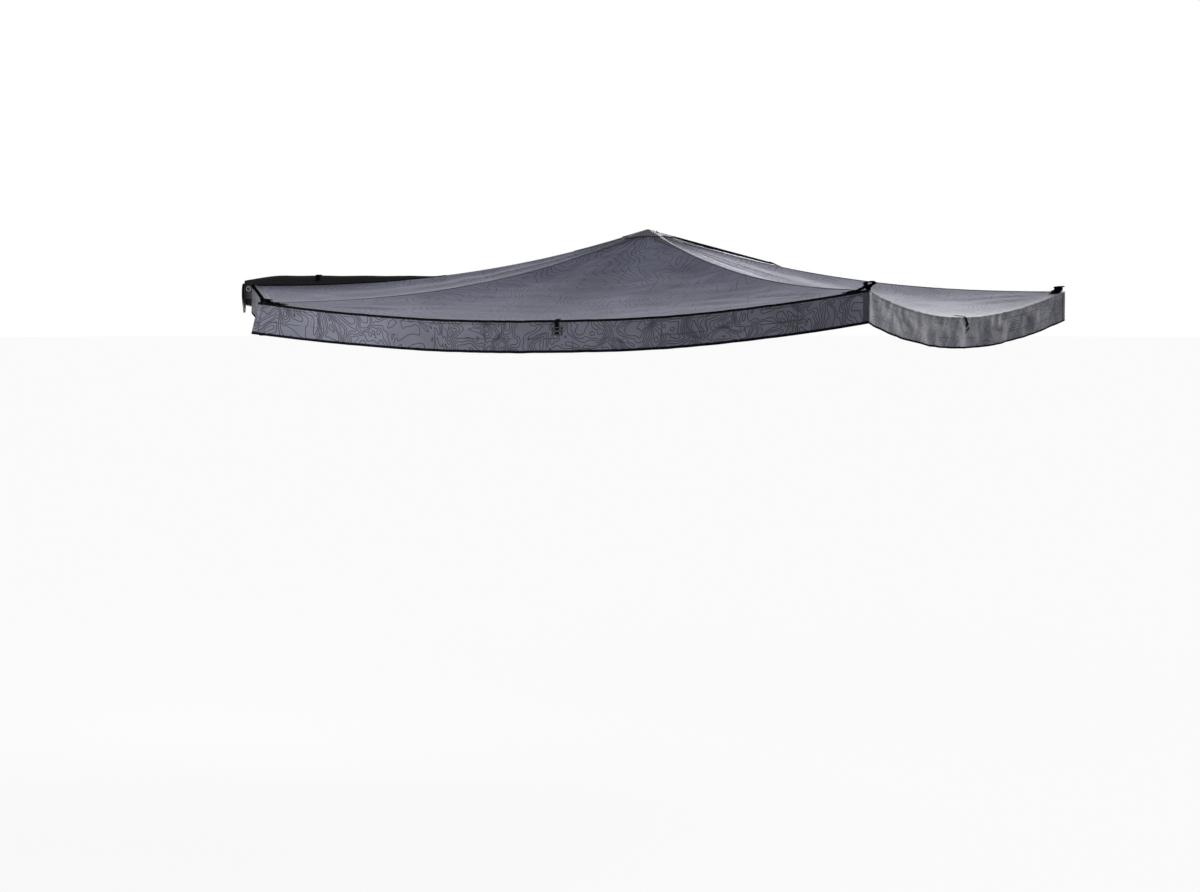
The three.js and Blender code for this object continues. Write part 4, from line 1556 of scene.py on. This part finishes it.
@dataclass
class Cover:
    """The opened cover of the case: its rolled lid, hanging flap, front end and strap."""

    finishes: Finishes
    lid_width: float = 38 * MM
    lid_height: float = 43 * MM
    lid_taper: float = 0.23
    lid_front_share: float = 0.4
    lid_width_power: float = 0.7
    lid_height_power: float = 0.8
    lid_turns: float = 1.8
    lid_layer: float = 3.2 * MM
    lid_begins: float = -0.35 * math.pi  # angle at which the outer layer begins
    lid_wander: float = 0.12  # of that angle, along the case
    lid_ripple: float = 0.02  # share of its height
    lid_bends: int = 18  # half waves along the case
    lid_dent: float = 1.1 * MM
    flap_drop: float = 165 * MM
    flap_wave: float = 8 * MM
    flap_waves: int = 6
    flap_crumple: float = 2.5 * MM
    flap_rise_length: float = 0.24
    flap_rise_share: float = 0.8
    front_width: float = 58 * MM
    front_drop: float = 152 * MM
    front_bulge: float = 12 * MM
    front_taper: float = 0.55
    front_shoulder: float = 0.45  # of its width, rounded off at its top
    front_shoulder_end: float = 0.14  # share of its drop
    front_crumple: float = 1.8 * MM
    skirt_rise: float = 12 * MM
    skirt_drop: float = 9 * MM
    skirt_bow: float = 1.6 * MM
    skirt_ripple: float = 0.6 * MM
    cloth: float = 1.4 * MM
    zip_pitch: float = 6 * MM
    zip_tooth: tuple[float, float, float] = (3.2 * MM, 2.6 * MM, 5 * MM)
    ring_wire: float = 1.8 * MM
    ring_radius: float = 11 * MM
    ring_place: Range = (22 * MM, 28 * MM)  # behind the spine's front end, and under its top
    strap: float = 1.4 * MM
    strap_width: float = 25 * MM
    strap_length: float = 0.13
    strap_place: float = 0.405
    strap_lift: float = 2.2 * MM
    strap_tail: float = 8 * MM
    strap_tail_share: float = 0.2

    def __post_init__(self) -> None:
        """Reads where the spine and the lid are."""
        self.spine_low, self.spine_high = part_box("spine")
        self.lid_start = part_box("cover_lid")[0].x

    def lid_point(self, x: float, angle: float, grow: float = 0.0) -> Vector:
        """Gives a point of the rolled lid's outside.

        Args:
            x: place along the case.
            angle: round the roll, from its outboard side.
            grow: how far outside the roll, in metres.

        Returns:
            The point.
        """
        low, high = self.spine_low, self.spine_high
        to_front = min(1.0, (high.x - x) / self.lid_taper)
        share = self.lid_front_share + (1 - self.lid_front_share) * math.sin(to_front * math.pi / 2)
        ripple = 1 + self.lid_ripple * math.sin(self.lid_bends * math.pi * (x - low.x) / (high.x - low.x))
        half = self.lid_height * share / 2 * ripple
        c, s = math.cos(angle), math.sin(angle)
        dent = self.lid_dent * noise.noise(Vector((x * 14, 2.2 * c, 2.2 * s)))
        across = math.copysign(abs(c) ** self.lid_width_power, c)
        up = math.copysign(abs(s) ** self.lid_height_power, s)
        y = low.y + AIR_GAP + self.lid_width / 2 + (self.lid_width / 2 + grow + min(0.0, dent)) * across
        z = high.z + AIR_GAP + half + (half + grow + min(0.0, dent)) * up
        return Vector((x, y, z))

    def build_lid(self) -> None:
        """Makes the lid, rolled up on top of the spine."""
        length = self.spine_high.x - self.lid_start
        around = self.lid_turns * math.pi * (self.lid_width + self.lid_height) / 2

        def place(u: float, v: float) -> Vector:
            """Gives a point of the piece."""
            x = self.lid_start + u * length
            start = self.lid_begins + self.lid_wander * math.sin(5 * u)
            angle = start + v * self.lid_turns * 2 * math.pi
            return self.lid_point(x, angle, -self.cloth / 2 - v * self.lid_turns * self.lid_layer)

        piece = lay_cloth(
            "cover_rolled_lid", (150, 72), place, strip_map(length, around), self.finishes.cover, Slot.COVER,
            self.cloth,
        )
        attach(piece, "root")
        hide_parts("cover_lid")

    def build_flap(self) -> None:
        """Makes the lower flap, which hangs under the spine."""
        low, high = self.spine_low, self.spine_high
        length = high.x - low.x
        middle = (low.y + high.y) / 2

        def place(u: float, v: float) -> Vector:
            """Gives a point of the piece."""
            x = low.x + u * length
            swing = self.flap_wave * v * math.sin(2 * math.pi * self.flap_waves * u)
            swing += self.flap_crumple * v * noise.noise(Vector((x * 9, v * 2, 4.4)))
            ending = min(1.0, max(0.0, (x - high.x) / self.flap_rise_length + 1))
            rise = self.flap_rise_share * ending**2 * (3 - 2 * ending)
            return Vector((x, middle + swing, low.z - AIR_GAP - v * self.flap_drop * (1 - rise)))

        piece = lay_cloth(
            "cover_hanging_flap", (180, 14), place, strip_map(length, self.flap_drop), self.finishes.cover,
            Slot.COVER, self.cloth,
        )
        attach(piece, "root")
        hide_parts("cover_flap")
        self.build_zip(place, length)

    def build_zip(self, place: Place, length: float) -> None:
        """Makes the zip's teeth along the flap's foot.

        Args:
            place: gives a point of the flap.
            length: of the flap.
        """
        pitch, tooth = self.zip_pitch, Vector(self.zip_tooth)
        mesh = bmesh.new()
        for number in range(int(length / pitch)):
            share = (number + 0.5) * pitch / length
            at = place(share, 1.0) - UP * tooth.z * 0.2
            size = Matrix.Diagonal((*tooth, 1))
            bmesh.ops.create_cube(mesh, size=1.0, matrix=Matrix.Translation(at) @ size)
        piece = finish_piece("cover_zip_teeth", mesh, self.finishes.nylon, Slot.BLACK_PLASTIC, smooth=False)
        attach(piece, "root")

    def build_front(self) -> None:
        """Makes the cover's front end, which hangs past the spine's end cap."""
        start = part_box("spine_end_cap")[1].x + AIR_GAP

        def place(u: float, v: float) -> Vector:
            """Gives a point of the piece."""
            rounded = max(0.0, 1 - v / self.front_shoulder_end)
            taper = 1 - self.front_taper * v**3 - self.front_shoulder * rounded**2
            y = self.spine_low.y + self.front_width * (0.5 + (u - 0.5) * taper)
            bulge = self.front_bulge * math.sin(math.pi * u) * math.sin(math.pi * min(1, 0.1 + v))
            crumple = self.front_crumple * (1 + noise.noise(Vector((u * 3.5, v * 7, 1.3))))
            crumple *= math.sin(math.pi * u) ** 0.5
            x = start + self.cloth / 2 + bulge * 0.85 + crumple * 0.5
            return Vector((x, y, self.spine_high.z - v * self.front_drop))

        piece = lay_cloth(
            "cover_front_end", (28, 60), place, strip_map(self.front_width, self.front_drop),
            self.finishes.cover, Slot.COVER, self.cloth,
        )
        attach(piece, "root")
        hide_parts("cover_front")

    def build_skirt(self) -> None:
        """Makes the lid's root, which is clamped over the spine's upper front edge."""
        length = self.spine_high.x - self.lid_start

        def place(u: float, v: float) -> Vector:
            """Gives a point of the piece."""
            x = self.lid_start + u * length
            z = self.spine_high.z + self.skirt_rise - v * (self.skirt_rise + self.skirt_drop)
            bow = self.skirt_bow * math.sin(math.pi * min(1.0, 1.6 * (1 - v))) * (1 - v)
            ripple = self.skirt_ripple * (1 + noise.noise(Vector((x * 11, v * 2, 8.1))))
            return Vector((x, self.spine_high.y + AIR_GAP + self.cloth / 2 + bow + ripple * (1 - v), z))

        piece = lay_cloth(
            "cover_skirt", (160, 8), place, strip_map(length, self.skirt_rise + self.skirt_drop),
            self.finishes.cover, Slot.COVER, 0.8 * self.cloth,
        )
        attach(piece, "root")

    def build_corner_ring(self) -> None:
        """Makes the wire ring that holds the canopy's corner at the case."""
        mesh = bmesh.new()
        bmesh.ops.create_circle(mesh, segments=12, radius=self.ring_wire)
        bmesh.ops.translate(mesh, verts=mesh.verts, vec=(self.ring_radius, 0, 0))
        spin_profile(mesh, mesh.verts[:] + mesh.edges[:], (0, 1, 0), steps=40)
        behind, under = self.ring_place
        high = self.spine_high
        middle = Vector((high.x - behind, high.y + self.ring_wire + AIR_GAP, high.z - under))
        bmesh.ops.translate(mesh, verts=mesh.verts, vec=middle)
        piece = finish_piece("case_corner_ring", mesh, self.finishes.plated_steel, Slot.ZINC_STEEL)
        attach(piece, "root")

    def build_strap(self) -> None:
        """Makes the strap round the rolled lid."""
        middle = self.spine_high.x - self.strap_place
        tail_share = self.strap_tail_share

        def place(u: float, v: float) -> Vector:
            """Gives a point of the piece."""
            angle = max(0.0, v - tail_share) / (1 - tail_share) * math.pi
            at = self.lid_point(middle, angle, self.strap_lift)
            at.x += (u - 0.5) * self.strap_width
            at.z -= max(0.0, 1 - v / tail_share) * self.strap_tail
            at.y += 1.5 * MM * max(0.0, 1 - v / tail_share)
            return at

        piece = lay_cloth(
            "cover_lid_strap", (6, 48), place, strip_map(1, self.strap_length), self.finishes.webbing,
            Slot.WEBBING, self.strap,
        )
        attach(piece, "root")
        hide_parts("cover_strap")

    def build(self) -> None:
        """Makes every piece of the cover."""
        self.build_lid()
        self.build_flap()
        self.build_front()
        self.build_skirt()
        self.build_strap()
        self.build_corner_ring()


@dataclass
class Hardware:
    """The hard parts: the frame's own pieces with softened edges, and turned rivets."""

    finishes: Finishes
    shape: CanopyShape
    edge: float = 0.6 * MM
    sharp: float = math.radians(32)
    sides: int = 20
    arm_width: float = 34 * MM
    rivet_radius: float = 4.5 * MM
    rivet_height: float = 1.6 * MM
    knuckle_rivets: tuple[float, ...] = (84 * MM, 118 * MM)  # from the hub's axis
    tip_rivets: tuple[float, ...] = (34 * MM, 58 * MM)  # from the canopy's corner

    def soften(self, node: str, material: Material, slot: Slot) -> None:
        """Makes a piece that stands for a frame node, with its edges rounded.

        Args:
            node: the node's name.
            material: the piece's material.
            slot: the record's slot for it.
        """
        source = frame["nodes"][node]
        mesh = bmesh.new()
        mesh.from_mesh(source.data)
        bmesh.ops.remove_doubles(mesh, verts=mesh.verts, dist=WELD)
        bmesh.ops.dissolve_limit(mesh, angle_limit=math.radians(0.5), verts=mesh.verts, edges=mesh.edges)
        round_edges(mesh, self.sharp, self.edge, segments=2)
        piece = finish_piece(f"{node}_edged", mesh, material, slot)
        piece.data.set_sharp_from_angle(angle=self.sharp)
        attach(piece, source["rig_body"])
        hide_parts(node)

    def turned(self, profile: Sequence[tuple[float, float]]) -> bpy.types.Mesh:
        """Makes a turned part round +Z.

        Args:
            profile: radii and heights, as an outline that starts and ends on the axis.

        Returns:
            Its mesh.
        """
        mesh = bmesh.new()
        verts = [mesh.verts.new((radius, 0, z)) for radius, z in profile]
        edges = [mesh.edges.new((a, b)) for a, b in zip(verts, verts[1:])]
        spin_profile(mesh, verts + edges, UP, self.sides)
        return take_mesh("turned_part", mesh)

    def build_rivets(self, arm: Arm) -> None:
        """Makes the rivets that hold an arm's channel to its knuckle and its tip.

        Args:
            arm: the arm.
        """
        low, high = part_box(f"arm_beam_{arm.number}")
        middle = Vector((self.shape.hub.x, self.shape.hub.y, (low.z + high.z) / 2))
        frame_of_arm = Matrix.Translation(middle) @ Matrix.Rotation(arm.angle, 4, "Z")
        r, h = self.rivet_radius, self.rivet_height
        dome = [(r, 0.2 * h), (0.85 * r, 0.65 * h), (0.5 * r, 0.93 * h)]
        head = self.turned([(0, -h), (r, -h), *dome, (0, h)])
        mesh = bmesh.new()
        for reach in (*self.knuckle_rivets, *(arm.reach - inset for inset in self.tip_rivets)):
            for side in (-1, 1):
                before = len(mesh.verts)
                mesh.from_mesh(head)
                mesh.verts.ensure_lookup_table()
                spot = Matrix.Translation((reach, side * self.arm_width / 2, 0))
                facing = Matrix.Rotation(-side * math.pi / 2, 4, "X")
                bmesh.ops.transform(mesh, matrix=frame_of_arm @ spot @ facing, verts=mesh.verts[before:])
        bpy.data.meshes.remove(head)
        piece = finish_piece(f"arm_rivets_{arm.number}", mesh, self.finishes.plated_steel, Slot.ZINC_STEEL)
        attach(piece, arm.body)

    def build(self) -> None:
        """Dresses every hard node of the frame."""
        made = self.finishes
        looks = {
            "bracket_": (made.coated_steel, Slot.BLACK_STEEL),
            "bracket_nut_": (made.plated_steel, Slot.ZINC_STEEL),
            "slider_": (made.plated_steel, Slot.ZINC_STEEL),
            "spine": (made.black_alloy, Slot.BLACK_ALLOY),
            "spine_end_cap": (made.nylon, Slot.BLACK_PLASTIC),
            "hub_": (made.plated_steel, Slot.ZINC_STEEL),
            "hub_bracket": (made.coated_steel, Slot.BLACK_STEEL),
            "hub_washer_": (made.nylon, Slot.BLACK_PLASTIC),
            "mast_": (made.silver_alloy, Slot.ALLOY),
            "mast_cap": (made.nylon, Slot.BLACK_PLASTIC),
            "arm_": (made.black_alloy, Slot.BLACK_ALLOY),
            "arm_beam_": (made.silver_alloy, Slot.ALLOY),
            "leg_": (made.silver_alloy, Slot.ALLOY),
            "leg_foot_": (made.rubber, Slot.RUBBER),
        }
        for node in frame["nodes"]:
            kinds = [kind for kind in looks if node.startswith(kind)]
            if not kinds:
                continue
            material, slot = looks[max(kinds, key=len)]
            self.soften(node, material, slot)
        for arm in self.shape.arms:
            self.build_rivets(arm)


@dataclass
class Studio:
    """The floor, the lamps, the world and the camera."""

    hub: Vector
    floor_height: float = -1.93
    floor_size: float = 60.0
    camera_place: tuple[float, float, float] = (-3.42, 14.08, 0.27)  # from the hub
    camera_yaw: float = -75.4
    camera_pitch: float = 3.89
    image_width: float = 1200
    focal_pixels: float = 2885
    sensor: float = 36.0
    backdrop: float = 1.0
    ambient: float = 0.31
    fill_place: tuple[float, float, float] = (1.05, 3.0, -0.1)
    fill_aim: tuple[float, float, float] = (0.7, 1.6, -0.05)
    fill_size: tuple[float, float] = (0.9, 0.14)  # low, so that it lights no cloth over the canopy edge
    fill_power: float = 19.0

    def build_floor(self) -> None:
        """Makes the pale floor, which shows white and keeps the awning's shadow."""
        mesh = bmesh.new()
        bmesh.ops.create_circle(mesh, cap_ends=True, segments=96, radius=self.floor_size)
        bmesh.ops.translate(mesh, verts=mesh.verts, vec=(0, 0, self.floor_height))
        floor = add_to_scene("studio_floor", take_mesh("studio_floor", mesh))
        material = bpy.data.materials.new("white_painted_floor")
        tree = new_tree(material)
        paint = add_node(tree, "ShaderNodeBsdfDiffuse", {"Color": linear("f2f2f2")})
        glow = add_node(tree, "ShaderNodeEmission", {"Color": linear("ffffff"), "Strength": self.backdrop})
        mixed = add_node(
            tree, "ShaderNodeMixShader",
            {0: self.seen_share(tree, 0.9), 1: paint.outputs[0], 2: glow.outputs[0]},
        )
        add_node(tree, "ShaderNodeOutputMaterial", {"Surface": mixed.outputs[0]})
        floor.data.materials.append(material)

    @staticmethod
    def seen_share(tree: Tree, share: float) -> Socket:
        """Gives a share for rays that are seen straight, in a mirror or through glass, and else 0.

        Args:
            tree: the tree of the floor or the world.
            share: what such rays get.

        Returns:
            The share.
        """
        path = add_node(tree, "ShaderNodeLightPath")
        seen = path.outputs["Is Camera Ray"]
        for kind in ("Is Glossy Ray", "Is Transmission Ray"):
            seen = compute(tree, "MAXIMUM", seen, path.outputs[kind])
        return compute(tree, "MULTIPLY", seen, share)

    def build_world(self) -> None:
        """Makes the white surroundings, with a plain level of light from all sides."""
        world = bpy.data.worlds.new("white_studio")
        bpy.context.scene.world = world
        tree = new_tree(world)
        strength = remap(tree, self.seen_share(tree, 1.0), (0.0, 1.0), (self.ambient, self.backdrop))
        sky = add_node(tree, "ShaderNodeBackground", {"Color": linear("ffffff"), "Strength": strength})
        add_node(tree, "ShaderNodeOutputWorld", {"Surface": sky.outputs[0]})

    def add_lamp(self, name: str, azimuth: float, elevation: float, strength: float, spread: float) -> None:
        """Adds a broad, distant lamp.

        Args:
            name: the lamp's name.
            azimuth: in degrees round +Z from +X, where it stands.
            elevation: in degrees above the floor.
            strength: in watts a square metre.
            spread: the angle that it fills, in degrees.
        """
        lamp = bpy.data.lights.new(name, "SUN")
        lamp.energy = strength
        lamp.angle = math.radians(spread)
        a, e = math.radians(azimuth), math.radians(elevation)
        towards = Vector((math.cos(a) * math.cos(e), math.sin(a) * math.cos(e), math.sin(e)))
        self.aim(add_to_scene(name, lamp), towards)

    @staticmethod
    def aim(piece: Piece, towards: Vector) -> None:
        """Turns a lamp so that its light comes from a direction."""
        piece.rotation_mode = "QUATERNION"
        piece.rotation_quaternion = towards.to_track_quat("Z", "Y")

    def add_fill(self) -> None:
        """Adds the soft box that lights the valance from its left end."""
        lamp = bpy.data.lights.new("fill", "AREA")
        lamp.energy = self.fill_power
        lamp.shape = "RECTANGLE"
        lamp.size, lamp.size_y = self.fill_size
        piece = add_to_scene("fill", lamp)
        piece.location = self.fill_place
        piece.visible_camera = False
        self.aim(piece, Vector(self.fill_place) - Vector(self.fill_aim))

    def build_camera(self) -> None:
        """Makes the camera at the photograph's place, angle and frame."""
        camera = bpy.data.cameras.new("camera")
        camera.sensor_width = self.sensor
        camera.lens = self.sensor * self.focal_pixels / self.image_width
        camera.clip_end = 4 * self.floor_size
        piece = add_to_scene("camera", camera)
        yaw, pitch = math.radians(self.camera_yaw), math.radians(self.camera_pitch)
        ahead = Vector((math.cos(yaw) * math.cos(pitch), math.sin(yaw) * math.cos(pitch), -math.sin(pitch)))
        right = Vector((math.sin(yaw), -math.cos(yaw), 0))
        turn = Matrix((right, right.cross(ahead), -ahead)).transposed()
        piece.matrix_world = Matrix.Translation(self.hub + Vector(self.camera_place)) @ turn.to_4x4()
        bpy.context.scene.camera = piece

    def build(self) -> None:
        """Makes the studio."""
        self.build_floor()
        self.build_world()
        self.add_lamp("key", azimuth=257, elevation=13, strength=5.0, spread=40)
        self.add_fill()
        self.build_camera()
        bpy.context.scene.view_settings.view_transform = "Standard"


def main() -> None:
    """Builds the studio and the awning, piece by piece."""
    logging.basicConfig(level=logging.INFO, format="%(name)s: %(message)s")
    hub, arms = read_arms()
    Studio(hub).build()
    finishes = Finishes.build()
    shape = CanopyShape(hub, arms)
    Canopy(shape, finishes).build()
    valance = Valance(shape, finishes)
    valance.build()
    for arm in range(len(arms)):
        CornerBand(shape, finishes).build(arm)
    straps = EdgeStrap(shape, valance, finishes)
    straps.build(1, "near", slant=0.0)
    straps.build(2, "rear", slant=0.6)
    Cover(finishes).build()
    Hardware(finishes, shape).build()


if __name__ == "__main__":
    main()
